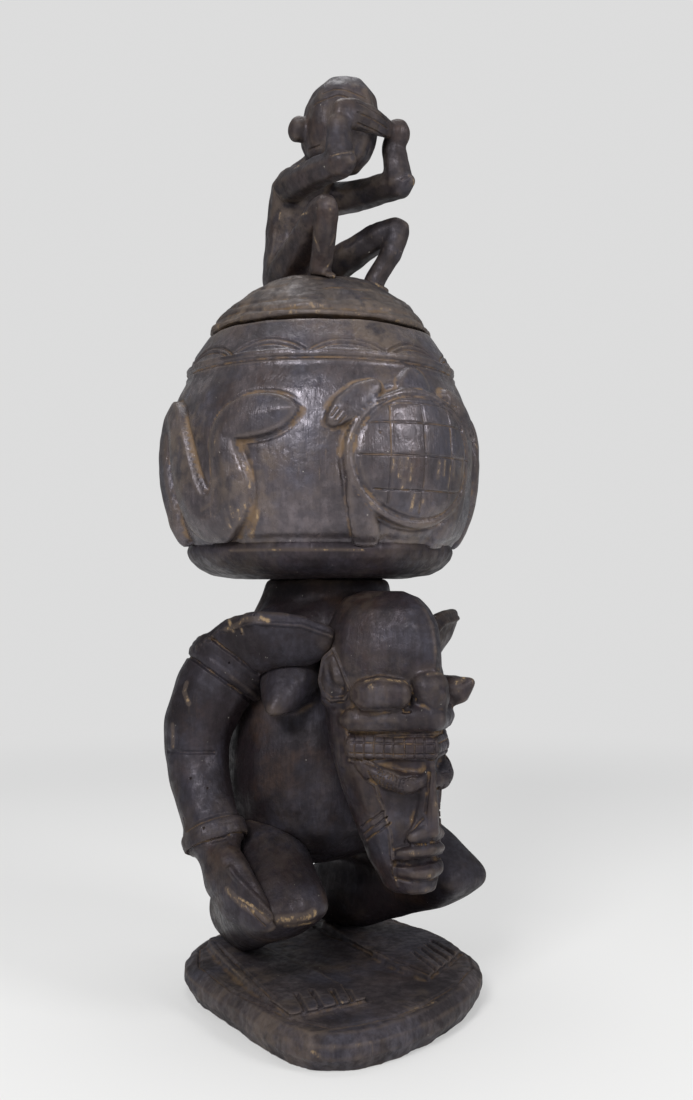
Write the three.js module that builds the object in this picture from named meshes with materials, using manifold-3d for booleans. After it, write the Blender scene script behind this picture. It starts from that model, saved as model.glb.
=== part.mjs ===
// A tall lidded container carved in dark wood. A crouching bearer, hands on the knees and head
// hanging before the chest, stands on a rounded base and carries a globular bowl on the neck.
// The lid lifts off by the small seated figure on its top. Millimetres, +Z up, the bearer looks
// along -Y, and the origin is the centre of the base's underside.

import * as THREE from "three";
import { mergeVertices } from "three/addons/utils/BufferGeometryUtils.js";
import Module from "manifold-3d";

const wasm = await Module();
wasm.setup();

// Driving dimensions

const BASE_WIDTH = 200;
const BASE_THICKNESS = 22;
const BASE_UNDERCUT_HEIGHT = 9;
const BASE_UNDERCUT_INSET = 6;
const BASE_EDGE_ROUNDING = 6;
const FOOT_RELIEF = 4;
const TOE_REACH = 3;
const INSTEP_RISE = 3;
const FOOT_EDGE_ROUNDING = 1;
const BEARER_HEIGHT = 250;
const BOWL_RADIUS = 106;
const BOWL_HEIGHT = 167;
const BOWL_SETBACK = 22;
const LID_RADIUS = 77;
const LID_HEIGHT = 40;
const SPIGOT_RADIUS = 62.5;
const SPIGOT_DEPTH = 10;
const SPIGOT_PLAY = 1.5;
const SERPENT_HALF_WIDTH = 13.5;
const SERPENT_LIFT = 5.5;
const TORTOISE_HALF_WIDTH = 53;
const TORTOISE_HALF_HEIGHT = 44;
const PAW_LIFT = 7;
const TORTOISE_DOME_LIFT = 8;
const RELIEF_ROOT = 5;
const FINIAL_HEIGHT = 140;
const FINIAL_TURN = THREE.MathUtils.degToRad(9);
const SEAM = 0.3;
const OVERRUN = 12;

const BEARER_FLOOR = BASE_THICKNESS + FOOT_RELIEF + INSTEP_RISE;
const BOWL_FLOOR = BEARER_FLOOR + BEARER_HEIGHT + SEAM;
const BOWL_TOP = BOWL_FLOOR + BOWL_HEIGHT;
const LID_FLOOR = BOWL_TOP + SEAM;
const MOUTH_RADIUS = SPIGOT_RADIUS + SPIGOT_PLAY;
const LID_TOP = LID_FLOOR + LID_HEIGHT;

// Numbers of facets

const ROUND_SIDES = 36;
const HOLLOW_SIDES = 18;
const TORSO_SIDES = 18;
const LIMB_SIDES = 10;
const SMALL_SIDES = 8;
const SHELL_SIDES = 18;
const PAW_SIDES = 8;
const FINE_SIDES = 6;

// Outline of the base, seen from above, in shares of the base width

const baseOutlineShares = [
  [0.475, 0.12],
  [0.475, 0.29],
  [0.38, 0.46],
  [0.16, 0.54],
  [-0.05, 0.555],
  [-0.25, 0.49],
  [-0.39, 0.36],
  [-0.465, 0.2],
  [-0.488, -0.1],
  [-0.5, -0.34],
  [-0.47, -0.505],
  [-0.355, -0.585],
  [-0.18, -0.59],
  [0.05, -0.53],
  [0.265, -0.415],
  [0.415, -0.24],
];

// Outlines of the feet, seen from above, in shares of the base width: round the heel and along
// the outer edge to the little toe, then from the big toe back along the inner edge

const rightFootOuterShares = [
  [-0.17, 0.36],
  [-0.23, 0.42],
  [-0.3, 0.36],
  [-0.395, -0.015],
  [-0.445, -0.37],
];
const rightFootInnerShares = [
  [-0.175, -0.395],
  [-0.16, 0],
];
const leftFootOuterShares = [
  [0.17, 0.34],
  [0.24, 0.4],
  [0.32, 0.34],
  [0.42, 0.02],
  [0.365, -0.205],
];
const leftFootInnerShares = [
  [0.095, -0.36],
  [0.085, -0.16],
];
const footToeCount = 5;
const outlineSamples = 2;

// The bearer's proportions, all in shares of the bearer's height.
// Torso levels: height, back from the middle, half width, half depth

const torsoShares = [
  [0.222, 0.168, 0.07, 0.08],
  [0.236, 0.16, 0.15, 0.15],
  [0.276, 0.136, 0.222, 0.208],
  [0.344, 0.108, 0.266, 0.238],
  [0.444, 0.088, 0.282, 0.238],
  [0.544, 0.084, 0.274, 0.228],
  [0.644, 0.086, 0.256, 0.208],
  [0.732, 0.088, 0.24, 0.19],
  [0.812, 0.086, 0.236, 0.182],
  [0.868, 0.078, 0.222, 0.18],
  [0.916, 0.066, 0.2, 0.176],
  [0.956, 0.056, 0.18, 0.17],
  [1, 0.052, 0.168, 0.168],
];

// Limb stations: out from the middle, back, up, half width, half height

const nuchalShares = [
  [0, 0.04, 0.86, 0.1, 0.07],
  [0, -0.04, 0.88, 0.14, 0.085],
  [0, -0.13, 0.88, 0.135, 0.08],
  [0, -0.16, 0.88, 0.12, 0.07],
];
const breastShares = [
  [0.11, 0.05, 0.8, 0.05, 0.05],
  [0.15, -0.01, 0.77, 0.092, 0.088],
  [0.2, -0.055, 0.732, 0.08, 0.076],
  [0.25, -0.092, 0.694, 0.05, 0.046],
  [0.284, -0.114, 0.67, 0.022, 0.022],
  [0.3, -0.123, 0.66, 0.008, 0.008],
];
const thighShares = [
  [0.12, 0.34, 0.296, 0.02, 0.02],
  [0.124, 0.31, 0.304, 0.08, 0.08],
  [0.136, 0.24, 0.312, 0.12, 0.12],
  [0.17, 0.15, 0.312, 0.12, 0.12],
  [0.21, 0.04, 0.28, 0.11, 0.112],
  [0.246, -0.07, 0.232, 0.104, 0.094],
  [0.262, -0.14, 0.202, 0.102, 0.076],
  [0.27, -0.182, 0.19, 0.098, 0.058],
  [0.276, -0.214, 0.182, 0.09, 0.034],
  [0.278, -0.23, 0.176, 0.062, 0.01],
];
const shinShares = [
  [0.276, -0.205, 0.166, 0.06, 0.012],
  [0.274, -0.17, 0.16, 0.086, 0.036],
  [0.266, -0.12, 0.154, 0.09, 0.056],
  [0.252, -0.04, 0.148, 0.086, 0.078],
  [0.23, 0.06, 0.132, 0.084, 0.1],
  [0.194, 0.15, 0.11, 0.078, 0.118],
  [0.166, 0.24, 0.086, 0.07, 0.112],
  [0.16, 0.32, 0.06, 0.062, 0.08],
  [0.158, 0.36, 0.044, 0.02, 0.02],
];
const armShares = [
  [0.15, 0.04, 0.83, 0.02, 0.02],
  [0.19, 0.05, 0.82, 0.07, 0.07],
  [0.25, 0.076, 0.804, 0.09, 0.09],
  [0.3, 0.094, 0.768, 0.106, 0.104],
  [0.34, 0.104, 0.7, 0.1, 0.1],
  [0.368, 0.12, 0.62, 0.092, 0.09],
  [0.374, 0.118, 0.55, 0.084, 0.084],
  [0.38, 0.09, 0.48, 0.078, 0.078],
  [0.38, 0.056, 0.42, 0.073, 0.073],
  [0.38, 0.012, 0.34, 0.068, 0.068],
  [0.378, -0.02, 0.296, 0.05, 0.05],
  [0.376, -0.03, 0.284, 0.01, 0.01],
];
const handShares = [
  [0.372, 0.02, 0.33, 0.01, 0.01],
  [0.378, 0, 0.312, 0.05, 0.064],
  [0.392, -0.06, 0.268, 0.05, 0.084],
  [0.388, -0.13, 0.222, 0.042, 0.076],
  [0.366, -0.186, 0.182, 0.028, 0.046],
  [0.346, -0.22, 0.158, 0.008, 0.01],
];

// The leaf-shaped shoulder: its top ridge and its lower edge, each out, back and up, and its
// half thickness

const shoulderShares = [
  [[0.4, 0.11, 0.806], [0.396, 0.12, 0.782], 0.01],
  [[0.386, 0.07, 0.852], [0.366, 0.1, 0.756], 0.03],
  [[0.36, 0.01, 0.898], [0.314, 0.08, 0.742], 0.042],
  [[0.338, -0.11, 0.924], [0.236, -0.02, 0.736], 0.038],
  [[0.236, -0.166, 0.912], [0.19, -0.08, 0.762], 0.04],
  [[0.168, -0.196, 0.884], [0.15, -0.15, 0.796], 0.028],
  [[0.142, -0.2, 0.864], [0.142, -0.19, 0.844], 0.008],
];
const armletShares = [
  [0.274, 0.084, 0.788],
  [0.306, 0.096, 0.744],
];
const armletSizeShare = 0.112;
const braceletShares = [
  [0.379, 0.03, 0.37],
  [0.377, 0.004, 0.328],
];
const braceletSizeShare = 0.08;

// The left forearm is drawn in and back below the elbow, so that its hand lies on the thigh

const elbowShare = 0.66;
const leftForearmInShare = 0.25;
const leftForearmBackShare = 0.16;

// Head levels: height, then front, cheek, side and back points of one half, each out and back

const headShares = [
  [0.22, [0, -0.336], [0.028, -0.332], [0.044, -0.31], [0.04, -0.28]],
  [0.232, [0, -0.364], [0.036, -0.36], [0.058, -0.322], [0.054, -0.27]],
  [0.264, [0, -0.376], [0.044, -0.368], [0.07, -0.326], [0.066, -0.256]],
  [0.3, [0, -0.372], [0.048, -0.36], [0.082, -0.314], [0.078, -0.236]],
  [0.356, [0, -0.364], [0.052, -0.348], [0.098, -0.304], [0.094, -0.218]],
  [0.412, [0, -0.364], [0.056, -0.336], [0.112, -0.29], [0.106, -0.2]],
  [0.468, [0, -0.372], [0.056, -0.336], [0.126, -0.276], [0.118, -0.18]],
  [0.532, [0, -0.384], [0.06, -0.34], [0.14, -0.26], [0.13, -0.162]],
  [0.588, [0, -0.4], [0.072, -0.344], [0.15, -0.25], [0.138, -0.15]],
  [0.652, [0, -0.392], [0.072, -0.34], [0.154, -0.25], [0.142, -0.14]],
  [0.724, [0, -0.4], [0.068, -0.344], [0.154, -0.246], [0.144, -0.13]],
  [0.824, [0, -0.412], [0.064, -0.35], [0.152, -0.232], [0.138, -0.12]],
  [0.884, [0, -0.398], [0.064, -0.338], [0.14, -0.224], [0.124, -0.12]],
  [0.924, [0, -0.37], [0.056, -0.32], [0.116, -0.22], [0.104, -0.12]],
  [0.952, [0, -0.33], [0.044, -0.29], [0.084, -0.204], [0.072, -0.128]],
  [0.97, [0, -0.276], [0.022, -0.25], [0.04, -0.204], [0.036, -0.16]],
];
const headSamples = 2;

// Features of the face: out, back, up, half width, half height

const noseShares = [
  [0, -0.37, 0.552, 0.008, 0.008],
  [0, -0.378, 0.52, 0.018, 0.022],
  [0, -0.372, 0.46, 0.022, 0.026],
  [0, -0.366, 0.4, 0.034, 0.032],
  [0, -0.362, 0.364, 0.05, 0.036],
  [0, -0.352, 0.344, 0.03, 0.02],
  [0, -0.348, 0.338, 0.006, 0.006],
];
const browShares = [
  [0.166, -0.236, 0.648, 0.008, 0.01],
  [0.154, -0.262, 0.652, 0.024, 0.03],
  [0.08, -0.35, 0.656, 0.026, 0.032],
  [0, -0.394, 0.658, 0.026, 0.032],
];
const bandShares = [
  [0.158, -0.244, 0.584, 0.004, 0.006],
  [0.152, -0.258, 0.584, 0.014, 0.03],
  [0.074, -0.35, 0.584, 0.016, 0.03],
  [0, -0.402, 0.584, 0.018, 0.03],
];
const eyelidShares = [
  [0.142, -0.27, 0.542, 0.004, 0.004],
  [0.124, -0.292, 0.522, 0.016, 0.016],
  [0.082, -0.328, 0.5, 0.024, 0.022],
  [0.04, -0.352, 0.506, 0.018, 0.016],
  [0.016, -0.37, 0.53, 0.004, 0.004],
];
const upperLipShares = [
  [0.082, -0.316, 0.318, 0.004, 0.004],
  [0.056, -0.352, 0.322, 0.016, 0.016],
  [0, -0.372, 0.328, 0.02, 0.018],
];
const lowerLipShares = [
  [0.078, -0.316, 0.29, 0.004, 0.004],
  [0.054, -0.35, 0.288, 0.016, 0.015],
  [0, -0.372, 0.284, 0.02, 0.017],
];
const lockSideShares = [
  [0.07, -0.25, 0.706, 0.056, 0.046],
  [0.112, -0.3, 0.708, 0.058, 0.05],
  [0.144, -0.34, 0.718, 0.044, 0.038],
  [0.164, -0.366, 0.742, 0.006, 0.008],
];
const lockFrontShares = [
  [0.006, -0.3, 0.7, 0.056, 0.05],
  [0.006, -0.37, 0.7, 0.056, 0.05],
  [0.006, -0.41, 0.71, 0.042, 0.038],
  [0.006, -0.43, 0.722, 0.01, 0.01],
];
const earShares = [
  [0.146, -0.18, 0.66, 0.006, 0.01],
  [0.15, -0.186, 0.686, 0.024, 0.04],
  [0.15, -0.19, 0.74, 0.03, 0.05],
  [0.148, -0.18, 0.796, 0.024, 0.034],
  [0.142, -0.164, 0.832, 0.006, 0.008],
];

// Bowl outline from the foot of its stem to the mouth: radius in shares of the bowl radius,
// height in shares of the bowl height

const bowlOuterShares = [
  [0.4, 0],
  [0.58, 0.004],
  [0.72, 0.018],
  [0.8, 0.045],
  [0.856, 0.08],
  [0.876, 0.112],
  [0.862, 0.134],
  [0.874, 0.15],
  [0.916, 0.17],
  [0.95, 0.216],
  [0.976, 0.29],
  [0.995, 0.38],
  [1.002, 0.475],
  [0.998, 0.56],
  [0.986, 0.63],
  [0.962, 0.7],
  [0.925, 0.76],
  [0.886, 0.805],
  [0.884, 0.82],
  [0.892, 0.832],
  [0.872, 0.86],
  [0.83, 0.91],
  [0.783, 0.955],
  [0.736, 1],
];
const bowlHollowShares = [
  [0.396, 0.145],
  [0.64, 0.19],
  [0.792, 0.28],
  [0.868, 0.43],
  [0.858, 0.54],
  [0.8, 0.66],
  [0.717, 0.77],
  [0.651, 0.86],
];
const bowlHollowFloorShare = 0.14;
const mouthStartShare = 0.93;

// Lid outline from its rim to its seat, and the shallow hollow under it: radius in shares of
// the lid radius, height in shares of the lid height

const lidOuterShares = [
  [0.985, 0],
  [1, 0.03],
  [1, 0.085],
  [0.965, 0.12],
  [0.945, 0.25],
  [0.9, 0.37],
  [0.83, 0.52],
  [0.745, 0.66],
  [0.65, 0.79],
  [0.52, 0.93],
  [0.36, 0.99],
];
const lidHollowShares = [
  [0.675, 0],
  [0.62, 0.14],
  [0.5, 0.34],
  [0.3, 0.44],
];
const lidHollowTopShare = 0.47;

// The serpent's line on the bowl: angle from the front in degrees, height share of the bowl

const serpentShares = [
  [-43, 0.622, 0.2],
  [-46, 0.62, 0.6],
  [-51, 0.613, 0.95],
  [-57, 0.606, 1.08],
  [-63, 0.598, 0.98],
  [-68.5, 0.575, 0.82],
  [-70.5, 0.52, 0.78],
  [-68.5, 0.45, 0.84],
  [-67.5, 0.37, 1],
  [-68.5, 0.3, 1.1],
  [-72, 0.245, 1.15],
  [-78, 0.225, 1.15],
  [-85, 0.26, 1.15],
  [-89, 0.34, 1.15],
  [-92, 0.44, 1.04],
  [-95.5, 0.55, 0.92],
  [-99.5, 0.635, 0.8],
  [-105.5, 0.66, 0.76],
  [-111, 0.6, 0.86],
  [-112.5, 0.48, 0.98],
  [-109.5, 0.34, 1],
  [-105, 0.22, 0.78],
  [-103.5, 0.16, 0.3],
];
const serpentEdgeShare = 0.35;
const serpentTurns = [0, 170];

// The tortoise: middle of its shell on the bowl, and its head and feet about that middle in
// shares of the shell's half width and half height: across, up, half width, half height, and
// the slant in degrees

const tortoiseHeightShare = 0.456;
const tortoiseTurns = [1, 180];
const tortoiseLimbShares = [
  [-0.86, 0.74, 0.36, 0.17, 45],
  [0.86, 0.74, 0.36, 0.17, -45],
  [-0.76, -0.84, 0.18, 0.42, 0],
  [0.68, -0.84, 0.18, 0.4, -12],
  [0, 1.12, 0.26, 0.24, 0],
];
const shellRingShares = [
  [1, 0],
  [1, 0.5],
  [0.9, 0.56],
  [0.86, 0.34],
  [0.72, 0.72],
  [0.44, 0.94],
  [0.14, 1],
];
const pawRingShares = [
  [1, 0],
  [1, 0.3],
  [0.66, 0.5],
];

// The seated figure of the lid, in shares of its height: out, back, up, half width, half height

const seatedTorsoShares = [
  [0, 0.205, -0.06, 0.12, 0.1],
  [0, 0.212, 0.04, 0.16, 0.14],
  [0, 0.213, 0.16, 0.155, 0.135],
  [0, 0.212, 0.28, 0.145, 0.125],
  [0, 0.19, 0.39, 0.155, 0.125],
  [0, 0.15, 0.49, 0.18, 0.125],
  [0, 0.07, 0.56, 0.12, 0.11],
  [0, 0, 0.6, 0.09, 0.09],
];
const seatedHeadShares = [
  [0, -0.062, 0.56, 0.05, 0.05],
  [0, -0.082, 0.59, 0.12, 0.14],
  [0, -0.102, 0.65, 0.16, 0.19],
  [0, -0.132, 0.74, 0.178, 0.2],
  [0, -0.157, 0.84, 0.178, 0.19],
  [0, -0.167, 0.92, 0.15, 0.158],
  [0, -0.172, 0.98, 0.09, 0.095],
  [0, -0.172, 1, 0.03, 0.03],
];
const seatedEarShares = [
  [0.1, -0.042, 0.73, 0.02, 0.03],
  [0.14, -0.032, 0.74, 0.045, 0.06],
  [0.18, -0.012, 0.75, 0.05, 0.07],
  [0.2, -0.002, 0.755, 0.034, 0.046],
  [0.21, 0.002, 0.755, 0.008, 0.01],
];
const seatedUpperArmShares = [
  [0.08, 0.1, 0.48, 0.04, 0.04],
  [0.14, 0.08, 0.49, 0.09, 0.085],
  [0.18, -0.07, 0.48, 0.078, 0.076],
  [0.2, -0.23, 0.485, 0.07, 0.07],
  [0.206, -0.365, 0.482, 0.07, 0.07],
  [0.208, -0.435, 0.486, 0.02, 0.02],
];
const seatedForearmShares = [
  [0.206, -0.353, 0.42, 0.022, 0.022],
  [0.206, -0.353, 0.47, 0.073, 0.07],
  [0.2, -0.338, 0.56, 0.066, 0.064],
  [0.194, -0.323, 0.66, 0.057, 0.055],
  [0.192, -0.323, 0.7, 0.055, 0.055],
  [0.192, -0.323, 0.72, 0.022, 0.022],
];
const seatedThighShares = [
  [0.06, 0.235, 0.03, 0.05, 0.05],
  [0.1, 0.145, 0.08, 0.095, 0.095],
  [0.16, -0.035, 0.17, 0.08, 0.08],
  [0.225, -0.215, 0.265, 0.066, 0.068],
  [0.252, -0.305, 0.287, 0.054, 0.052],
  [0.258, -0.355, 0.285, 0.014, 0.014],
];
const seatedShinShares = [
  [0.254, -0.318, 0.31, 0.02, 0.02],
  [0.252, -0.306, 0.27, 0.054, 0.056],
  [0.23, -0.268, 0.15, 0.054, 0.056],
  [0.19, -0.198, 0.03, 0.05, 0.052],
  [0.165, -0.163, -0.08, 0.054, 0.066],
  [0.16, -0.158, -0.14, 0.02, 0.02],
];
const seatedFootShares = [
  [0.17, -0.125, -0.01, 0.02, 0.02],
  [0.168, -0.165, -0.02, 0.056, 0.04],
  [0.166, -0.255, -0.05, 0.06, 0.034],
  [0.166, -0.305, -0.075, 0.034, 0.022],
  [0.166, -0.33, -0.085, 0.008, 0.008],
];

// The right hand lies flat across the face, fingers to the left, and the left one is a fist

const seatedHandShares = [
  [0.22, -0.31, 0.74, 0.02, 0.02],
  [0.2, -0.32, 0.735, 0.05, 0.06],
  [0.12, -0.35, 0.745, 0.046, 0.075],
  [0, -0.36, 0.745, 0.036, 0.07],
  [-0.12, -0.35, 0.735, 0.026, 0.05],
  [-0.17, -0.34, 0.73, 0.01, 0.02],
];
const seatedFistShares = [
  [0.19, -0.34, 0.67, 0.03, 0.03],
  [0.192, -0.345, 0.7, 0.056, 0.058],
  [0.192, -0.35, 0.745, 0.062, 0.064],
  [0.19, -0.35, 0.785, 0.04, 0.042],
  [0.19, -0.35, 0.8, 0.01, 0.01],
];

// Shared tools for closed bodies

function solidOf(geometry) {
  const bare = geometry.clone();
  bare.deleteAttribute("normal");
  bare.deleteAttribute("uv");
  const welded = mergeVertices(bare);
  const vertProperties = new Float32Array(welded.attributes.position.array);
  const triVerts = new Uint32Array(welded.index.array);
  return new wasm.Manifold(new wasm.Mesh({ numProp: 3, vertProperties, triVerts }));
}

function geometryOf(solid) {
  const mesh = solid.getMesh();
  const geometry = new THREE.BufferGeometry();
  geometry.setAttribute("position", new THREE.BufferAttribute(new Float32Array(mesh.vertProperties), 3));
  geometry.setIndex(new THREE.BufferAttribute(new Uint32Array(mesh.triVerts), 1));
  geometry.computeVertexNormals();
  return geometry;
}

function joined(solids) {
  return solids.reduce((whole, solid) => whole.add(solid));
}

function without(solid, cutters) {
  return cutters.reduce((rest, cutter) => rest.subtract(cutter), solid);
}

function middleOf(points) {
  const middle = new THREE.Vector3();
  points.forEach((point) => middle.add(point));
  return middle.divideScalar(points.length);
}

// Six times the volume inside a closed skin, which is negative where its faces point inwards

function turnedVolume(points, faces) {
  const cross = new THREE.Vector3();
  let volume = 0;
  faces.forEach(([a, b, c]) => {
    cross.crossVectors(points[b], points[c]);
    volume += points[a].dot(cross);
  });
  return volume;
}

// A closed skin over rings that all hold the same number of points

function skinOver(rings) {
  const sides = rings[0].length;
  const points = rings.flat();
  const faces = [];
  for (let ring = 0; ring + 1 < rings.length; ring += 1) {
    for (let side = 0; side < sides; side += 1) {
      const next = (side + 1) % sides;
      const here = ring * sides;
      const above = here + sides;
      faces.push([here + side, here + next, above + next]);
      faces.push([here + side, above + next, above + side]);
    }
  }
  const first = points.push(middleOf(rings[0])) - 1;
  const last = points.push(middleOf(rings[rings.length - 1])) - 1;
  const top = (rings.length - 1) * sides;
  for (let side = 0; side < sides; side += 1) {
    const next = (side + 1) % sides;
    faces.push([first, next, side]);
    faces.push([last, top + side, top + next]);
  }
  const outward = turnedVolume(points, faces) > 0;
  const order = outward ? faces : faces.map(([a, b, c]) => [a, c, b]);
  const geometry = new THREE.BufferGeometry();
  geometry.setFromPoints(points);
  geometry.setIndex(order.flat());
  return solidOf(geometry);
}

function ellipseRing(middle, across, along, halfWidth, halfHeight, sides) {
  const ring = [];
  for (let side = 0; side < sides; side += 1) {
    const turn = (side / sides) * Math.PI * 2;
    const point = middle.clone();
    point.addScaledVector(across, halfWidth * Math.cos(turn));
    point.addScaledVector(along, halfHeight * Math.sin(turn));
    ring.push(point);
  }
  return ring;
}

// A limb: oval rings set square to the line through the stations. A station holds where it is
// (out, back, up) and its half width and half height. Growth widens it all round by one length

function limb(stationShares, size, origin, mirror, sides, growth) {
  const middles = stationShares.map(
    ([out, back, up]) => new THREE.Vector3(out * mirror * size, back * size, up * size).add(origin),
  );
  const rings = stationShares.map(([, , , wide, high], index) => {
    const before = middles[Math.max(index - 1, 0)];
    const after = middles[Math.min(index + 1, middles.length - 1)];
    const line = new THREE.Vector3().subVectors(after, before).normalize();
    const upright = Math.abs(line.z) > Math.abs(line.y) + Math.abs(line.x);
    const guide = upright ? new THREE.Vector3(0, -1, 0) : new THREE.Vector3(0, 0, 1);
    const across = new THREE.Vector3().crossVectors(line, guide).normalize();
    const along = new THREE.Vector3().crossVectors(across, line).normalize();
    const halfWidth = wide * size + growth;
    const halfHeight = high * size + growth;
    return ellipseRing(middles[index], across, along, halfWidth, halfHeight, sides);
  });
  return skinOver(untwisted(rings));
}

// The same rings, each begun at the point that keeps the skin between them from twisting

function untwisted(rings) {
  const straight = [rings[0]];
  for (const ring of rings.slice(1)) {
    const before = straight[straight.length - 1];
    const apart = (points) => points.reduce((sum, point, side) => sum + point.distanceToSquared(before[side]), 0);
    const starts = ring.map((_, first) => [...ring.slice(first), ...ring.slice(0, first)]);
    starts.sort((one, other) => apart(one) - apart(other));
    straight.push(starts[0]);
  }
  return straight;
}

// A leaf with a sharp ridge: pointed rings that each reach from a ridge point to an edge point

function leafRing(middle, across, along, thick, high, sides) {
  const ring = [];
  for (let side = 0; side < sides; side += 1) {
    const turn = (side / sides) * Math.PI * 2;
    const swell = Math.sin(turn) * Math.sqrt(Math.abs(Math.sin(turn)));
    const point = middle.clone().addScaledVector(across, thick * swell);
    ring.push(point.addScaledVector(along, high * Math.cos(turn)));
  }
  return ring;
}

function leaf(stationShares, size, origin, mirror, sides, growth) {
  const place = ([out, back, up]) => new THREE.Vector3(out * mirror * size, back * size, up * size).add(origin);
  const middles = stationShares.map(([ridge, edge]) => place(ridge).add(place(edge)).divideScalar(2));
  const rings = stationShares.map(([ridge, edge, thick], index) => {
    const before = middles[Math.max(index - 1, 0)];
    const after = middles[Math.min(index + 1, middles.length - 1)];
    const line = new THREE.Vector3().subVectors(after, before).normalize();
    const upward = place(ridge).sub(middles[index]);
    const halfHeight = upward.length() + growth;
    const along = upward.normalize();
    const across = new THREE.Vector3().crossVectors(line, along).normalize();
    return leafRing(middles[index], across, along, thick * size + growth, halfHeight, sides);
  });
  return skinOver(rings);
}

function bearerOrigin() {
  return new THREE.Vector3(0, 0, BEARER_FLOOR);
}

function bearerLimb(stationShares, mirror, sides, growth) {
  return limb(stationShares, BEARER_HEIGHT, bearerOrigin(), mirror, sides, growth);
}

// A bar that runs across the face from one side to the other, given by one half

function acrossFace(stationShares, sides) {
  const far = stationShares.slice(0, -1);
  const near = far.map(([out, ...rest]) => [-out, ...rest]).reverse();
  return bearerLimb([...far, stationShares[stationShares.length - 1], ...near], 1, sides, 0);
}

// Base with the two feet in low relief

function baseOutline(growth) {
  const corners = baseOutlineShares.map(
    ([across, back]) => new THREE.Vector3(across * BASE_WIDTH, back * BASE_WIDTH, 0),
  );
  const curve = new THREE.CatmullRomCurve3(corners, true);
  const points = curve.getPoints(corners.length * outlineSamples).slice(0, -1);
  return points.map((point) => point.clone().setLength(point.length() + growth));
}

function baseRing(height, growth) {
  return baseOutline(growth).map((point) => point.setZ(height));
}

function baseBlock(growth) {
  const rings = [
    baseRing(0, growth - BASE_UNDERCUT_INSET),
    baseRing(BASE_UNDERCUT_HEIGHT, growth),
    baseRing(BASE_THICKNESS - BASE_EDGE_ROUNDING + growth, growth),
    baseRing(BASE_THICKNESS + growth, growth - BASE_EDGE_ROUNDING),
  ];
  return skinOver(rings);
}

// A foot seen from above: two long edges joined across the front by a row of toes

function footShape(outerShares, innerShares) {
  const shape = new THREE.Shape();
  const onBase = ([out, back]) => new THREE.Vector2(out * BASE_WIDTH, back * BASE_WIDTH);
  const outer = outerShares.map(onBase);
  const inner = innerShares.map(onBase);
  const littleToe = outer[outer.length - 1];
  const step = inner[0].clone().sub(littleToe).divideScalar(footToeCount);
  const ahead = new THREE.Vector2(-Math.abs(step.y) * Math.sign(step.x * step.y), -Math.abs(step.x));
  ahead.setLength(TOE_REACH);
  shape.moveTo(outer[0].x, outer[0].y);
  shape.splineThru(outer.slice(1));
  for (let toe = 0; toe < footToeCount; toe += 1) {
    const start = littleToe.clone().addScaledVector(step, toe);
    const end = start.clone().add(step);
    const rise = start.clone().add(ahead);
    const fall = end.clone().add(ahead);
    shape.bezierCurveTo(rise.x, rise.y, fall.x, fall.y, end.x, end.y);
  }
  shape.splineThru([...inner.slice(1), outer[0]]);
  return shape;
}

function footRelief(outerShares, innerShares, growth) {
  const geometry = new THREE.ExtrudeGeometry(footShape(outerShares, innerShares), {
    depth: BASE_THICKNESS / 2 + FOOT_RELIEF - FOOT_EDGE_ROUNDING + growth,
    bevelThickness: FOOT_EDGE_ROUNDING,
    bevelSize: FOOT_EDGE_ROUNDING,
    bevelOffset: growth - FOOT_EDGE_ROUNDING,
    bevelSegments: 1,
    curveSegments: 3,
  });
  return solidOf(geometry).translate([0, 0, BASE_THICKNESS / 2]);
}

function feet(growth) {
  const right = footRelief(rightFootOuterShares, rightFootInnerShares, growth);
  const left = footRelief(leftFootOuterShares, leftFootInnerShares, growth);
  return right.add(left);
}

function baseForm(growth) {
  return baseBlock(growth).add(feet(growth));
}

// Bearer

function torsoForm(growth) {
  const rings = torsoShares.map(([up, back, wide, deep]) => {
    const middle = new THREE.Vector3(0, back * BEARER_HEIGHT, up * BEARER_HEIGHT).add(bearerOrigin());
    const across = new THREE.Vector3(1, 0, 0);
    const along = new THREE.Vector3(0, 1, 0);
    const halfWidth = wide * BEARER_HEIGHT + growth;
    const halfDepth = deep * BEARER_HEIGHT + growth;
    return ellipseRing(middle, across, along, halfWidth, halfDepth, TORSO_SIDES);
  });
  const trunk = skinOver(rings);
  const nape = bearerLimb(nuchalShares, 1, LIMB_SIDES, growth);
  const breasts = [-1, 1].map((mirror) => bearerLimb(breastShares, mirror, LIMB_SIDES, growth));
  return joined([trunk, nape, ...breasts]);
}

function legForm(mirror, growth) {
  const thigh = bearerLimb(thighShares, mirror, LIMB_SIDES, growth);
  const shin = bearerLimb(shinShares, mirror, LIMB_SIDES, growth);
  return thigh.add(shin);
}

function forearmDrawn(mirror, shares) {
  return shares.map(([out, back, up, ...size]) => {
    const below = mirror > 0 ? Math.max(elbowShare - up, 0) : 0;
    return [out - below * leftForearmInShare, back + below * leftForearmBackShare, up, ...size];
  });
}

function band(endShares, sizeShare, mirror) {
  const stations = forearmDrawn(mirror, endShares).map((end) => [...end, sizeShare, sizeShare]);
  return bearerLimb(stations, mirror, LIMB_SIDES, 0);
}

function armForm(mirror, growth) {
  const arm = bearerLimb(forearmDrawn(mirror, armShares), mirror, LIMB_SIDES, growth);
  const hand = bearerLimb(forearmDrawn(mirror, handShares), mirror, SMALL_SIDES, growth);
  const shoulder = leaf(shoulderShares, BEARER_HEIGHT, bearerOrigin(), mirror, LIMB_SIDES, growth);
  const armlet = band(armletShares, armletSizeShare, mirror);
  const bracelet = band(braceletShares, braceletSizeShare, mirror);
  return joined([arm, hand, shoulder, armlet, bracelet]);
}

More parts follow.
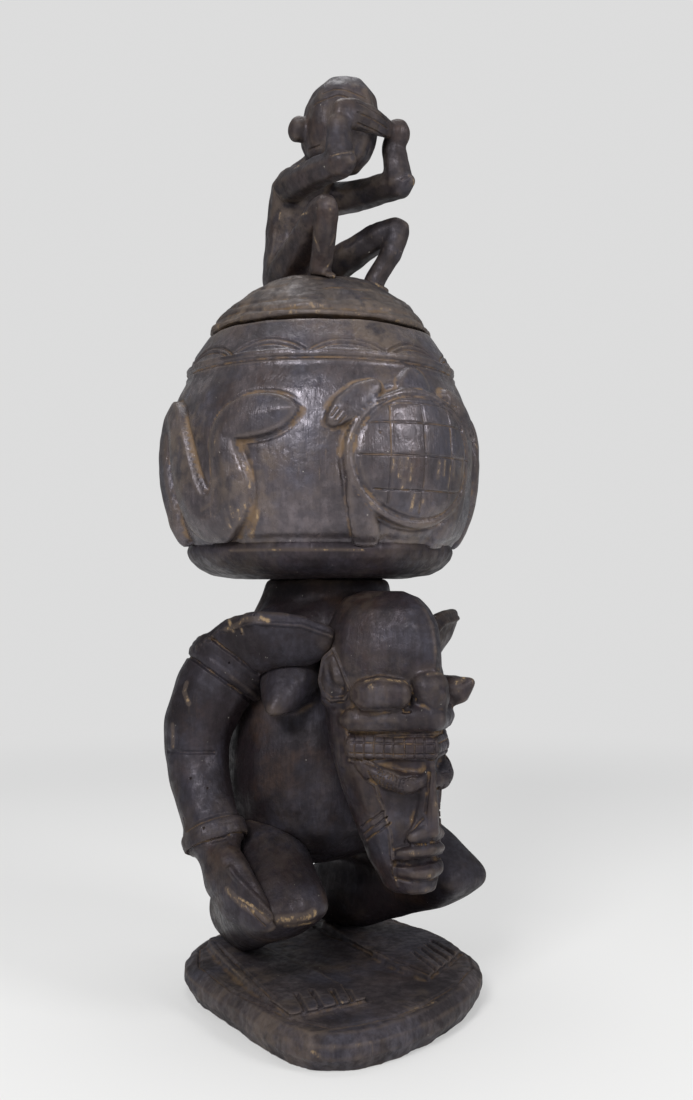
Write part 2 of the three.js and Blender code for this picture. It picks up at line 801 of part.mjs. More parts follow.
function headRing([up, front, cheek, side, back], growth) {
  const half = [cheek, side, back];
  const near = half.map(([out, behind]) => [out, behind]);
  const far = half.map(([out, behind]) => [-out, behind]).reverse();
  const corners = [front, ...near, [0, back[1]], ...far].map(
    ([out, behind]) => new THREE.Vector3(out * BEARER_HEIGHT, behind * BEARER_HEIGHT, 0),
  );
  const curve = new THREE.CatmullRomCurve3(corners, true, "centripetal");
  const points = curve.getPoints(corners.length * headSamples).slice(0, -1);
  const middle = middleOf(points);
  return points.map((point) => {
    const spoke = point.sub(middle);
    spoke.setLength(spoke.length() + growth);
    return spoke.add(middle).setZ(up * BEARER_HEIGHT + BEARER_FLOOR);
  });
}

function headForm(growth) {
  const skull = skinOver(headShares.map((level) => headRing(level, growth)));
  const ears = [-1, 1].map((mirror) => bearerLimb(earShares, mirror, SMALL_SIDES, growth));
  return joined([skull, ...ears]);
}

function faceFeatures() {
  const pairs = [eyelidShares, lockSideShares];
  const sides = pairs.flatMap((shares) => [-1, 1].map((mirror) => bearerLimb(shares, mirror, FINE_SIDES, 0)));
  const bars = [browShares, bandShares, upperLipShares, lowerLipShares];
  const across = bars.map((shares) => acrossFace(shares, FINE_SIDES));
  const single = [noseShares, lockFrontShares].map((shares) => bearerLimb(shares, 1, FINE_SIDES, 0));
  return joined([...sides, ...across, ...single]);
}

// Bowl, turned round an axis that stands behind the middle of the base

function turned(profile, sides) {
  const points = profile.map(([radius, height]) => new THREE.Vector2(radius, height));
  const geometry = new THREE.LatheGeometry(points, sides);
  geometry.rotateX(Math.PI / 2);
  return solidOf(geometry).translate([0, BOWL_SETBACK, 0]);
}

function bowlPoint([radiusShare, heightShare]) {
  return [radiusShare * BOWL_RADIUS, BOWL_FLOOR + heightShare * BOWL_HEIGHT];
}

function bowlBody() {
  const wall = bowlOuterShares.map(bowlPoint);
  return turned([[0, BOWL_FLOOR], ...wall, [0, BOWL_TOP]], ROUND_SIDES);
}

function bowlHollow() {
  const floor = bowlPoint([0, bowlHollowFloorShare]);
  const wall = bowlHollowShares.map(bowlPoint);
  const mouth = BOWL_FLOOR + mouthStartShare * BOWL_HEIGHT;
  const top = BOWL_TOP + OVERRUN;
  return turned([floor, ...wall, [MOUTH_RADIUS, mouth], [MOUTH_RADIUS, top], [0, top]], HOLLOW_SIDES);
}

function bowlRadiusAt(heightShare) {
  const above = bowlOuterShares.findIndex(([, height]) => height >= heightShare);
  const [lowRadius, lowHeight] = bowlOuterShares[Math.max(above - 1, 0)];
  const [highRadius, highHeight] = bowlOuterShares[Math.max(above, 1)];
  const between = (heightShare - lowHeight) / (highHeight - lowHeight);
  return (lowRadius + (highRadius - lowRadius) * between) * BOWL_RADIUS;
}

function onBowl(degrees, heightShare, lift) {
  const angle = THREE.MathUtils.degToRad(degrees);
  const radius = bowlRadiusAt(heightShare) + lift;
  const height = BOWL_FLOOR + heightShare * BOWL_HEIGHT;
  return new THREE.Vector3(radius * Math.sin(angle), BOWL_SETBACK - radius * Math.cos(angle), height);
}

// A low relief that follows the bowl: oval rings, each a share of the outline's size and of
// the full lift, from a root inside the wall to the top

function ovalRelief(degrees, heightShare, halfWidth, halfHeight, slant, lift, ringShares, sides) {
  const centre = new THREE.Vector2();
  const rings = ringShares.map(([sizeShare, liftShare]) => {
    const ring = [];
    const rise = liftShare > 0 ? liftShare * lift : -RELIEF_ROOT;
    for (let side = 0; side < sides; side += 1) {
      const turn = (side / sides) * Math.PI * 2;
      const spot = new THREE.Vector2(halfWidth * Math.cos(turn), halfHeight * Math.sin(turn));
      spot.multiplyScalar(sizeShare).rotateAround(centre, THREE.MathUtils.degToRad(slant));
      const across = THREE.MathUtils.radToDeg(spot.x / BOWL_RADIUS);
      ring.push(onBowl(degrees + across, heightShare + spot.y / BOWL_HEIGHT, rise));
    }
    return ring;
  });
  return skinOver(rings);
}

function tortoise(degrees) {
  const shell = ovalRelief(
    degrees,
    tortoiseHeightShare,
    TORTOISE_HALF_WIDTH,
    TORTOISE_HALF_HEIGHT,
    0,
    TORTOISE_DOME_LIFT,
    shellRingShares,
    SHELL_SIDES,
  );
  const limbs = tortoiseLimbShares.map(([across, up, wide, high, slant]) => {
    const turn = THREE.MathUtils.radToDeg((across * TORTOISE_HALF_WIDTH) / BOWL_RADIUS);
    const rise = (up * TORTOISE_HALF_HEIGHT) / BOWL_HEIGHT;
    const halfWidth = wide * TORTOISE_HALF_WIDTH;
    const halfHeight = high * TORTOISE_HALF_HEIGHT;
    const height = tortoiseHeightShare + rise;
    return ovalRelief(degrees + turn, height, halfWidth, halfHeight, slant, PAW_LIFT, pawRingShares, PAW_SIDES);
  });
  return joined([shell, ...limbs]);
}

// A winding relief that follows the bowl: rings across its line, rounded on top and rooted in
// the wall, whose edges stand a little proud

function serpent(around) {
  const flat = serpentShares.map(([degrees, height]) => {
    return new THREE.Vector2(THREE.MathUtils.degToRad(degrees) * BOWL_RADIUS, height * BOWL_HEIGHT);
  });
  const rings = serpentShares.map(([degrees, height, widthShare], index) => {
    const before = flat[Math.max(index - 1, 0)];
    const after = flat[Math.min(index + 1, flat.length - 1)];
    const line = after.clone().sub(before).normalize();
    const ring = [];
    for (let side = 0; side < SMALL_SIDES; side += 1) {
      const turn = (side / SMALL_SIDES) * Math.PI * 2;
      const across = Math.cos(turn) * SERPENT_HALF_WIDTH * widthShare;
      const swell = serpentEdgeShare + (1 - serpentEdgeShare) * Math.sin(turn);
      const rise = side > SMALL_SIDES / 2 ? -RELIEF_ROOT : SERPENT_LIFT * swell;
      const angle = degrees + around + THREE.MathUtils.radToDeg((-line.y * across) / BOWL_RADIUS);
      ring.push(onBowl(angle, height + (line.x * across) / BOWL_HEIGHT, rise));
    }
    return ring;
  });
  return skinOver(rings);
}

function bowlForm() {
  const reliefs = [...tortoiseTurns.map(tortoise), ...serpentTurns.map(serpent)];
  return without(joined([bowlBody(), ...reliefs]), [bowlHollow()]);
}

// Lid with the spigot that drops into the mouth

function lidPoint([radiusShare, heightShare]) {
  return [radiusShare * LID_RADIUS, LID_FLOOR + heightShare * LID_HEIGHT];
}

function lidDome(growth) {
  const outline = lidOuterShares.map(lidPoint).map(([radius, height]) => [radius + growth, height + growth]);
  return turned([[0, LID_FLOOR], ...outline, [0, LID_TOP + growth]], ROUND_SIDES);
}

function lidSpigot() {
  const low = LID_FLOOR - SPIGOT_DEPTH;
  const high = LID_FLOOR + SPIGOT_DEPTH;
  return turned([[0, low], [SPIGOT_RADIUS, low], [SPIGOT_RADIUS, high], [0, high]], HOLLOW_SIDES);
}

function lidHollow() {
  const top = lidPoint([0, lidHollowTopShare]);
  const wall = lidHollowShares.map(lidPoint);
  const low = LID_FLOOR - SPIGOT_DEPTH - OVERRUN;
  const mouth = wall[0][0];
  return turned([[0, low], [mouth, low], ...wall, top], HOLLOW_SIDES);
}

function lidForm() {
  return without(lidDome(0).add(lidSpigot()), [lidHollow()]);
}

// Seated figure on the lid: knees drawn up, elbows forward, the face hidden behind the hands

function seatedLimb(stationShares, mirror, sides) {
  return limb(stationShares, FINIAL_HEIGHT, new THREE.Vector3(), mirror, sides, 0);
}

function seatedForm() {
  const singles = [seatedTorsoShares, seatedHeadShares].map((shares) => seatedLimb(shares, 1, SMALL_SIDES));
  const pairs = [
    seatedEarShares,
    seatedUpperArmShares,
    seatedForearmShares,
    seatedThighShares,
    seatedShinShares,
    seatedFootShares,
  ];
  const sides = pairs.flatMap((shares) => [-1, 1].map((mirror) => seatedLimb(shares, mirror, FINE_SIDES)));
  const hand = seatedLimb(seatedHandShares, -1, FINE_SIDES);
  const fist = seatedLimb(seatedFistShares, 1, FINE_SIDES);
  const figure = joined([...singles, ...sides, hand, fist]);
  const turnedFigure = figure.rotate([0, 0, THREE.MathUtils.radToDeg(FINIAL_TURN)]);
  return turnedFigure.translate([0, BOWL_SETBACK, LID_TOP]);
}

// Materials: one dark patinated wood, a little lighter where it is handled or left matt

function woodMaterial(name, colour, roughness) {
  return new THREE.MeshStandardMaterial({ name, color: colour, roughness, metalness: 0 });
}

function piece(name, solid, material) {
  const mesh = new THREE.Mesh(geometryOf(solid), material);
  mesh.name = name;
  return mesh;
}

function basePiece() {
  return piece("base", baseForm(0), woodMaterial("base_wood", 0x2b2725, 0.62));
}

function torsoPiece() {
  return piece("bearer_torso", torsoForm(0), woodMaterial("torso_wood", 0x2a2523, 0.55));
}

function legPiece(name, mirror) {
  const leg = without(legForm(mirror, 0), [torsoForm(SEAM), baseForm(SEAM)]);
  return piece(name, leg, woodMaterial(`${name}_wood`, 0x2a2624, 0.55));
}

function headPiece() {
  const head = without(headForm(0).add(faceFeatures()), [torsoForm(SEAM)]);
  return piece("bearer_head", head, woodMaterial("head_wood", 0x292624, 0.5));
}

function armPiece(name, mirror) {
  const neighbours = [torsoForm(SEAM), legForm(mirror, SEAM), headForm(SEAM)];
  const arm = without(armForm(mirror, 0), neighbours);
  return piece(name, arm, woodMaterial(`${name}_wood`, 0x2b2827, 0.55));
}

function bowlPiece() {
  return piece("bowl", bowlForm(), woodMaterial("bowl_wood", 0x272322, 0.48));
}

function lidPiece() {
  return piece("lid", lidForm(), woodMaterial("lid_wood", 0x2a2725, 0.58));
}

function seatedPiece() {
  const figure = without(seatedForm(), [lidDome(SEAM)]);
  return piece("lid_figure", figure, woodMaterial("figure_wood", 0x2b2726, 0.58));
}

const vessel = new THREE.Group();
vessel.add(basePiece());
vessel.add(legPiece("bearer_right_leg", -1));
vessel.add(legPiece("bearer_left_leg", 1));
vessel.add(torsoPiece());
vessel.add(armPiece("bearer_right_arm", -1));
vessel.add(armPiece("bearer_left_arm", 1));
vessel.add(headPiece());
vessel.add(bowlPiece());

const cover = new THREE.Group();
cover.add(lidPiece());
cover.add(seatedPiece());

const container = new THREE.Group();
container.add(vessel);
container.add(cover);

export default container;
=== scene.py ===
import math

import bpy
import numpy as np
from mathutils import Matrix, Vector, noise
from mathutils.kdtree import KDTree


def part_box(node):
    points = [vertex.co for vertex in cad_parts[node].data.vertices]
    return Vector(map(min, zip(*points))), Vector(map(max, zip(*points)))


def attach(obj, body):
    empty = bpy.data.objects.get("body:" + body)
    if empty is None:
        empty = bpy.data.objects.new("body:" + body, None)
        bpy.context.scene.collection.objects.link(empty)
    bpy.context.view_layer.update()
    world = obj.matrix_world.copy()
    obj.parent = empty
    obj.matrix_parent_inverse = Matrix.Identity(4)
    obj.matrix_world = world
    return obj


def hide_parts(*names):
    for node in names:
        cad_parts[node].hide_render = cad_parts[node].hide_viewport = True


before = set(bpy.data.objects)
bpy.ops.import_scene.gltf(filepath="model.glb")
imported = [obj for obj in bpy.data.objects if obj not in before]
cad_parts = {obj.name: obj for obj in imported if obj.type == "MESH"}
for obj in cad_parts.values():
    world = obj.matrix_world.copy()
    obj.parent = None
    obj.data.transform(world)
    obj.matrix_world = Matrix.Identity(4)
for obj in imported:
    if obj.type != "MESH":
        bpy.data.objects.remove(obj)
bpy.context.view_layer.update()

# The container is one log of dark wood carved into a base, a crouching bearer and a bowl, with
# a lid and its seated figure carved from a second log. Lengths on the wood are in millimetres and
# are made metres by MM. Those of the camera, the lamps and the floor are in metres.

MM = 0.001
CELL_SCALE = 1.0

# Camera, as the photograph was taken

CAMERA_PLACE = (-0.47127, -0.65765, 0.274)
CAMERA_TURN = (math.radians(91.8), 0, math.radians(-36))
CAMERA_LENS = 38.62
SENSOR_WIDTH = 36

# Bowl and lid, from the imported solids

BOWL_AXIS = 22.0
BOWL_RADIUS = 106.0
BOWL_FLOOR = 279.3
BOWL_HEIGHT = 167.0
LID_FLOOR = 446.6
LID_RADIUS = 77.0
LID_HEIGHT = 40.0
SPIGOT_RADIUS = 62.5
SPIGOT_DEPTH = 10.0
MOUTH_RADIUS = 64.0

# Hand tools

WELD = 0.01
SPUN_WELD = 0.02
SNAP = 7.0
STROKE_STEP = 0.35
MARK_STEP = 0.5
OPEN_REACH = 1.6
HOLE_HALF_WIDTH = 1.0
HOLE_DEPTH = 1.8
PRESSED = "pressed"
WEAR_REACH = 9
WEAR_FULL = 0.42


def deselect():
    bpy.ops.object.select_all(action="DESELECT")


def hold(block):
    deselect()
    block.select_set(True)
    bpy.context.view_layer.objects.active = block


def shape_with(block, kind, **settings):
    """Puts one modifier on a block and applies it."""
    hold(block)
    tool = block.modifiers.new(kind.lower(), kind)
    for name, value in settings.items():
        setattr(tool, name, value)
    bpy.ops.object.modifier_apply(modifier=tool.name)


def in_edit(block):
    hold(block)
    bpy.ops.object.mode_set(mode="EDIT")


def out_of_edit():
    bpy.ops.object.mode_set(mode="OBJECT")


def weld(reach):
    """Makes points that lie closer than the reach one, in the block being edited."""
    bpy.ops.mesh.select_all(action="SELECT")
    bpy.ops.mesh.remove_doubles(threshold=reach * MM)


def rough_out(name, node):
    """A welded copy of a solid, as the block that the detail is carved in."""
    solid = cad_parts[node]
    block = solid.copy()
    block.data = solid.data.copy()
    block.name = name
    block.data.name = name
    for key in list(block.keys()):
        del block[key]
    block.parent = None
    bpy.context.scene.collection.objects.link(block)
    block.data.materials.clear()
    in_edit(block)
    weld(WELD)
    out_of_edit()
    return block


def resurface(block, cell):
    size = cell * CELL_SCALE * MM
    shape_with(block, "REMESH", mode="VOXEL", voxel_size=size, use_smooth_shade=True)


def soften(block, turns):
    shape_with(block, "SMOOTH", factor=0.5, iterations=turns)


def swell(block, amount):
    """Lets a block grow into its neighbours, so that no gap shows where they are one wood."""
    shape_with(block, "DISPLACE", strength=amount * MM, mid_level=0)


def between(line, count):
    """Points at equal steps along a line, its ends among them."""
    corners = np.array(line, dtype=float)
    run = np.concatenate([[0], np.cumsum(np.linalg.norm(np.diff(corners, axis=0), axis=1))])
    places = np.linspace(0, run[-1], count + 1)
    return np.stack([np.interp(places, run, column) for column in corners.T], axis=1)


def egg(place, size):
    """An egg of wood: its place and its half lengths."""
    deselect()
    bpy.ops.mesh.primitive_uv_sphere_add(segments=16, ring_count=10, location=Vector(place) * MM)
    wood = bpy.context.object
    wood.scale = Vector(size) * MM
    bpy.ops.object.transform_apply(location=True, rotation=True, scale=True)
    return wood


def add_wood(block, rolls):
    """Sets rolls of wood on a block, to become one with it when it gets its new surface. A roll
    is a close row of eggs along its stations, each a place and its half lengths."""
    steps = [step for stations, count in rolls for step in between(stations, count)]
    eggs = [egg(step[:3], step[3:]) for step in steps]
    hold(block)
    for wood in eggs:
        wood.select_set(True)
    bpy.ops.object.join()


def other_side(stations):
    """Stations of the bearer's right, moved to the left."""
    return [(-x, *rest) for x, *rest in stations]


def on_both(rolls):
    """Rolls of the bearer's right, and the same on the left."""
    return rolls + [(other_side(stations), count) for stations, count in rolls]


def points_of(block, kind="co"):
    """The place of each point of a block, or its normal."""
    values = np.empty(len(block.data.vertices) * 3)
    block.data.vertices.foreach_get(kind, values)
    return values.reshape(-1, 3)


def keep_within(block, *nodes):
    """Holds a block inside the box of its solids."""
    corners = [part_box(node) for node in nodes]
    low = np.min([low for low, _ in corners], axis=0)
    high = np.max([high for _, high in corners], axis=0)
    places = np.clip(points_of(block), low, high)
    block.data.vertices.foreach_set("co", places.ravel())
    block.data.update()


def press(block, lifts):
    """Moves each point of a block out by its own lift, or in where the lift is below zero."""
    for sign in (1, -1):
        share = lifts * sign
        most = share.max()
        if most <= 0:
            continue
        group = block.vertex_groups.new(name=PRESSED)
        for index in np.nonzero(share > 0)[0]:
            group.add([int(index)], float(share[index] / most), "REPLACE")
        shape_with(block, "DISPLACE", strength=sign * most * MM, mid_level=0, vertex_group=PRESSED)
        block.vertex_groups.remove(block.vertex_groups[PRESSED])


def uneven(block, size, amount, held=None):
    """Leaves a surface as uneven as a hand leaves it, in swells of a size. What is held stays."""
    places = points_of(block) / (size * MM)
    swells = np.array([noise.noise(Vector(place)) for place in places])
    if held is not None:
        swells[held] = 0
    press(block, amount * swells)


# Strokes of the knife


def level(points, height):
    """Places at one height."""
    return [(x, y, height) for x, y in points]


def even_steps(points, step):
    """Places a step apart on the straight lines through the given points."""
    line = []
    for start, end in zip(points, points[1:]):
        start, end = Vector(start), Vector(end)
        count = max(1, math.ceil((end - start).length / step))
        line += [start.lerp(end, part / count) for part in range(count)]
    return line + [Vector(points[-1])]


def mirrored(strokes):
    """Strokes of the bearer's right, and the same on the left."""
    other = [([(-x, y, z) for x, y, z in points], *cut) for points, *cut in strokes]
    return strokes + other


def ring_stroke(middle, axis, radius, half_width, depth):
    """A stroke round a limb, about a place on its axis."""
    line = Vector(axis).normalized()
    across = line.orthogonal().normalized()
    aside = line.cross(across)
    turns = np.linspace(0, 2 * math.pi, 37)
    ring = [Vector(middle) + radius * (math.cos(t) * across + math.sin(t) * aside) for t in turns]
    return (ring, half_width, depth)


def hole(place):
    """A beetle hole."""
    x, y, z = place
    return ([(x, y, z), (x, y, z + 0.05)], HOLE_HALF_WIDTH, HOLE_DEPTH)


def tree_of(block):
    vertices = block.data.vertices
    tree = KDTree(len(vertices))
    for vertex in vertices:
        tree.insert(vertex.co, vertex.index)
    tree.balance()
    return tree


def on_surface(block, points, step):
    """Places a step apart on a block's surface, nearest to a line."""
    for spot in even_steps(points, step):
        found, place, _, _ = block.closest_point_on_mesh(spot * MM, distance=SNAP * MM)
        if found:
            yield place


def open_up(block, spots):
    """Makes the net of a block twice as fine where the knife will pass."""
    tree = tree_of(block)
    near = set()
    for place, reach, _ in spots:
        near.update(index for _, index, _ in tree.find_range(place, OPEN_REACH * reach))
    mesh = block.data
    for parts in (mesh.vertices, mesh.edges):
        parts.foreach_set("select", [False] * len(parts))
    chosen = [any(corner in near for corner in face.vertices) for face in mesh.polygons]
    mesh.polygons.foreach_set("select", chosen)
    in_edit(block)
    bpy.ops.mesh.select_mode(type="FACE")
    bpy.ops.mesh.subdivide(number_cuts=1)
    out_of_edit()


def carve(block, strokes, finer=True):
    """Cuts grooves along lines near the surface. A stroke holds its points, its half width and
    its depth; a depth below zero raises a ridge instead."""
    bpy.context.view_layer.update()
    spots = []
    for points, half_width, depth in strokes:
        for place in on_surface(block, points, STROKE_STEP * half_width):
            spots.append((place, half_width * MM, depth))
    if finer:
        open_up(block, spots)
    tree = tree_of(block)
    lifts = np.zeros(len(block.data.vertices))
    for place, reach, depth in spots:
        for _, index, distance in tree.find_range(place, reach):
            near = 1 - distance / reach
            cut = -depth * near * near * (3 - 2 * near)
            if abs(cut) > abs(lifts[index]):
                lifts[index] = cut
    press(block, lifts)


def note_wear(block, edges, joins):
    """Notes on each point how far it stands out of its surroundings, for worn edges, and how
    far it lies back in them, for dust. Between the heights of the joins there is neither."""
    mesh = block.data
    pairs = np.empty(len(mesh.edges) * 2, dtype=int)
    mesh.edges.foreach_get("vertices", pairs)
    one, other = pairs.reshape(-1, 2).T
    places = points_of(block)
    size = len(places)
    count = np.bincount(pairs, minlength=size)
    around = places.copy()
    for _ in range(WEAR_REACH):
        total = np.empty_like(around)
        for axis in range(3):
            values = around[:, axis]
            total[:, axis] = np.bincount(one, values[other], size)
            total[:, axis] += np.bincount(other, values[one], size)
        around = 0.5 * around + 0.5 * total / np.maximum(count, 1)[:, None]
    out = ((places - around) * points_of(block, "normal")).sum(axis=1) / MM
    for low, high in joins:
        out[(places[:, 2] > low * MM) & (places[:, 2] < high * MM)] = 0
    for name, values, share in (("worn", out, edges), ("dusty", -out, 1.0)):
        note = mesh.attributes.new(name, "FLOAT", "POINT")
        strength = share * np.clip(values / WEAR_FULL, 0, 1)
        note.data.foreach_set("value", strength.astype(np.float32))


def mark(block, note, marks):
    """Adds to a note along lines where hands or knocks have worn the wood, or where dust lies. A
    mark holds its points, its half width and its strength."""
    bpy.context.view_layer.update()
    tree = tree_of(block)
    values = np.empty(len(block.data.vertices), dtype=np.float32)
    block.data.attributes[note].data.foreach_get("value", values)
    for points, half_width, strength in marks:
        for place in on_surface(block, points, MARK_STEP * half_width):
            for _, index, distance in tree.find_range(place, half_width * MM):
                share = strength * (1 - (distance / (half_width * MM)) ** 2)
                values[index] = max(values[index], share)
    block.data.attributes[note].data.foreach_set("value", values)


def finish(block, body, slot, material, *nodes, worn=(), dusty=(), edges=0.85, joins=()):
    note_wear(block, edges, joins)
    mark(block, "worn", worn)
    mark(block, "dusty", dusty)
    block.data.materials.clear()
    block.data.materials.append(material)
    block.data.polygons.foreach_set("use_smooth", [True] * len(block.data.polygons))
    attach(block, body)
    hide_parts(*nodes)


# Shades and marks of the wood, shared by all its pieces


def add(tree, kind, **settings):
    """A new shader node. The setting in_3 is the value of its input number 3."""
    made = tree.nodes.new("ShaderNode" + kind)
    for name, value in settings.items():
        if name.startswith("in_"):
            made.inputs[int(name[3:])].default_value = value
        else:
            setattr(made, name, value)
    return made


def feed(tree, source, target):
    tree.links.new(source, target)


def new_group(name, outputs, fill, **starts):
    """A group of nodes, filled by a function that gives its outputs. It takes a place on the
    wood, and values with what they start from."""
    group = bpy.data.node_groups.new(name, "ShaderNodeTree")
    sockets = group.interface
    sockets.new_socket(name="Place", in_out="INPUT", socket_type="NodeSocketVector")
    for socket, start in starts.items():
        made = sockets.new_socket(name=socket, in_out="INPUT", socket_type="NodeSocketFloat")
        made.default_value = start
    for socket in outputs:
        sockets.new_socket(name=socket, in_out="OUTPUT", socket_type="NodeSocketFloat")
    given = group.nodes.new("NodeGroupInput").outputs
    end = group.nodes.new("NodeGroupOutput").inputs
    for socket, value in zip(outputs, fill(group, *given[:-1])):
        feed(group, value, end[socket])
    return group


def ramp(tree, source, low, high):
    """A value spread from 0 at low to 1 at high."""
    spread = add(tree, "MapRange", interpolation_type="SMOOTHSTEP", in_1=low, in_2=high)
    feed(tree, source, spread.inputs[0])
    return spread.outputs[0]


NOISE_ROUGHNESS = 0.6


def blotches(tree, place, scale, detail, low, high, shift=(0, 0, 0), stretch=(1, 1, 1)):
    """Soft-edged patches: how many lie along a metre, how finely they fray, and the noise at
    which a patch begins and at which it is full."""
    moved = add(tree, "Mapping", in_1=shift, in_3=stretch)
    feed(tree, place, moved.inputs[0])
    clouds = add(tree, "TexNoise", in_2=scale, in_3=detail, in_4=NOISE_ROUGHNESS)
    feed(tree, moved.outputs[0], clouds.inputs[0])
    return ramp(tree, clouds.outputs[0], low, high)


def arithmetic(tree, operation, one, other):
    made = add(tree, "Math", operation=operation)
    for socket, value in zip(made.inputs, (one, other)):
        if isinstance(value, (int, float)):
            socket.default_value = value
        else:
            feed(tree, value, socket)
    return made.outputs[0]


def times(tree, one, other):
    return arithmetic(tree, "MULTIPLY", one, other)


def plus(tree, one, other):
    return arithmetic(tree, "ADD", one, other)


def blend(tree, first, *others):
    """The sum of values, each times its share."""
    total = times(tree, *first)
    for value in others:
        total = plus(tree, total, times(tree, *value))
    return total


def clouds_of(tree, place):
    """Dark, warm and cool clouds, the cool ones partly a painted sheen, a film of dust and fine
    mottling.
    """
    film = blotches(tree, place, 15, 8, 0.48, 0.64, shift=(6, 4, 3))
    return (
        blotches(tree, place, 34, 7, 0.4, 0.6),
        blotches(tree, place, 20, 7, 0.52, 0.66, shift=(3, 1, 7)),
        blotches(tree, place, 24, 7, 0.46, 0.62, shift=(9, 5, 2)),
        times(tree, film, blotches(tree, place, 110, 6, 0.36, 0.6)),
        blotches(tree, place, 190, 6, 0.38, 0.62, shift=(1, 8, 4)),
    )


def grain_of(tree, place):
    """Upright streaks, and their height with the fibre's."""
    streak = blotches(tree, place, 340, 3, 0.35, 0.68, stretch=(1, 1, 0.07))
    fibre = blotches(tree, place, 1300, 2, 0.3, 0.7, stretch=(1, 1, 0.05))
    return streak, plus(tree, streak, times(tree, fibre, 0.5))


def facets_of(tree, place, size):
    """Shallow facets left by the blade, longer than wide."""
    bent = add(tree, "TexNoise", in_2=30.0, in_3=2.0)
    feed(tree, place, bent.inputs[0])
    sway = add(tree, "Mix", data_type="VECTOR", in_0=0.012)
    feed(tree, place, sway.inputs[4])
    feed(tree, bent.outputs[1], sway.inputs[5])
    long = add(tree, "Mapping", in_3=(1, 1, 0.45))
    feed(tree, sway.outputs[1], long.inputs[0])
    cells = add(tree, "TexVoronoi", feature="SMOOTH_F1", in_4=0.4)
    feed(tree, long.outputs[0], cells.inputs["Vector"])
    feed(tree, size, cells.inputs["Scale"])
    return (cells.outputs["Distance"],)


def wear_of(tree, place, worn, dusty):
    """Where edges are rubbed and chipped, and where dust lies in the hollows."""
    broken = blotches(tree, place, 95, 5, 0.42, 0.66)
    flakes = blotches(tree, place, 420, 5, 0.38, 0.62, shift=(4, 4, 4), stretch=(1, 1, 0.5))
    specks = blotches(tree, place, 1100, 2, 0.3, 0.6, shift=(2, 9, 3))
    powder = blotches(tree, place, 60, 7, 0.42, 0.6, shift=(7, 2, 5))
    loose = blend(tree, (broken, 0.4), (flakes, 0.5))
    chip = ramp(tree, plus(tree, worn, loose), 1.35, 1.85)
    chip = times(tree, chip, plus(tree, times(tree, specks, 0.5), 0.5))
    rub = times(tree, ramp(tree, worn, 0.1, 0.9), 0.75)
    return rub, chip, times(tree, ramp(tree, dusty, 0.15, 0.9), powder)


def scuffs_of(tree, place):
    """Thin pale upright scratches, in patches, and a few light specks."""
    lines = blotches(tree, place, 800, 2, 0.62, 0.7, stretch=(1, 1, 0.08))
    patch = blotches(tree, place, 30, 3, 0.52, 0.66, shift=(2, 6, 1))
    return times(tree, lines, patch), blotches(tree, place, 520, 1, 0.8, 0.82, shift=(5, 5, 9))


FACET_SIZE = 90.0
CLOUDS = new_group("patina clouds", ("Dark", "Warm", "Cool_sheen", "Film", "Fine"), clouds_of)
GRAIN = new_group("upright grain", ("Streak", "Height"), grain_of)
BLADE = new_group("blade facets", ("Height",), facets_of, Size=FACET_SIZE)
WEAR = new_group("wear and dust", ("Rub", "Chip", "Dust"), wear_of, Worn=0.0, Dusty=0.0)
SCUFFS = new_group("scuffs", ("Scratch", "Speck"), scuffs_of)


def placed(tree, group, place):
    made = add(tree, "Group", node_tree=group)
    feed(tree, place, made.inputs["Place"])
    return made


def laid_over(tree, under, colour, mask, strength):
    """A colour laid over another where the mask says."""
    mix = add(tree, "Mix", data_type="RGBA")
    feed(tree, times(tree, mask, strength), mix.inputs[0])
    if isinstance(under, tuple):
        mix.inputs[6].default_value = (*under, 1)
    else:
        feed(tree, under, mix.inputs[6])
    mix.inputs[7].default_value = (*colour, 1)
    return mix.outputs[2]


NEAR_BLACK = (0.006, 0.0045, 0.005)
RED_BROWN = (0.05, 0.028, 0.0175)
# Blue-grey of the cool clouds: partly a cooler tone of the wood, partly a painted sheen.
BLUE_GREY_SHEEN = (0.05, 0.05, 0.068)
DUST_FILM = (0.11, 0.082, 0.06)
RUBBED = (0.1, 0.075, 0.058)
OCHRE = (0.15, 0.093, 0.042)
BARE_WOOD = (0.29, 0.2, 0.105)
SPECK = (0.4, 0.38, 0.34)
SHEEN_TINT = (0.97, 0.9, 1.0)
BUMP_STRENGTH = 0.55
BUMP_HEIGHT = 1.2


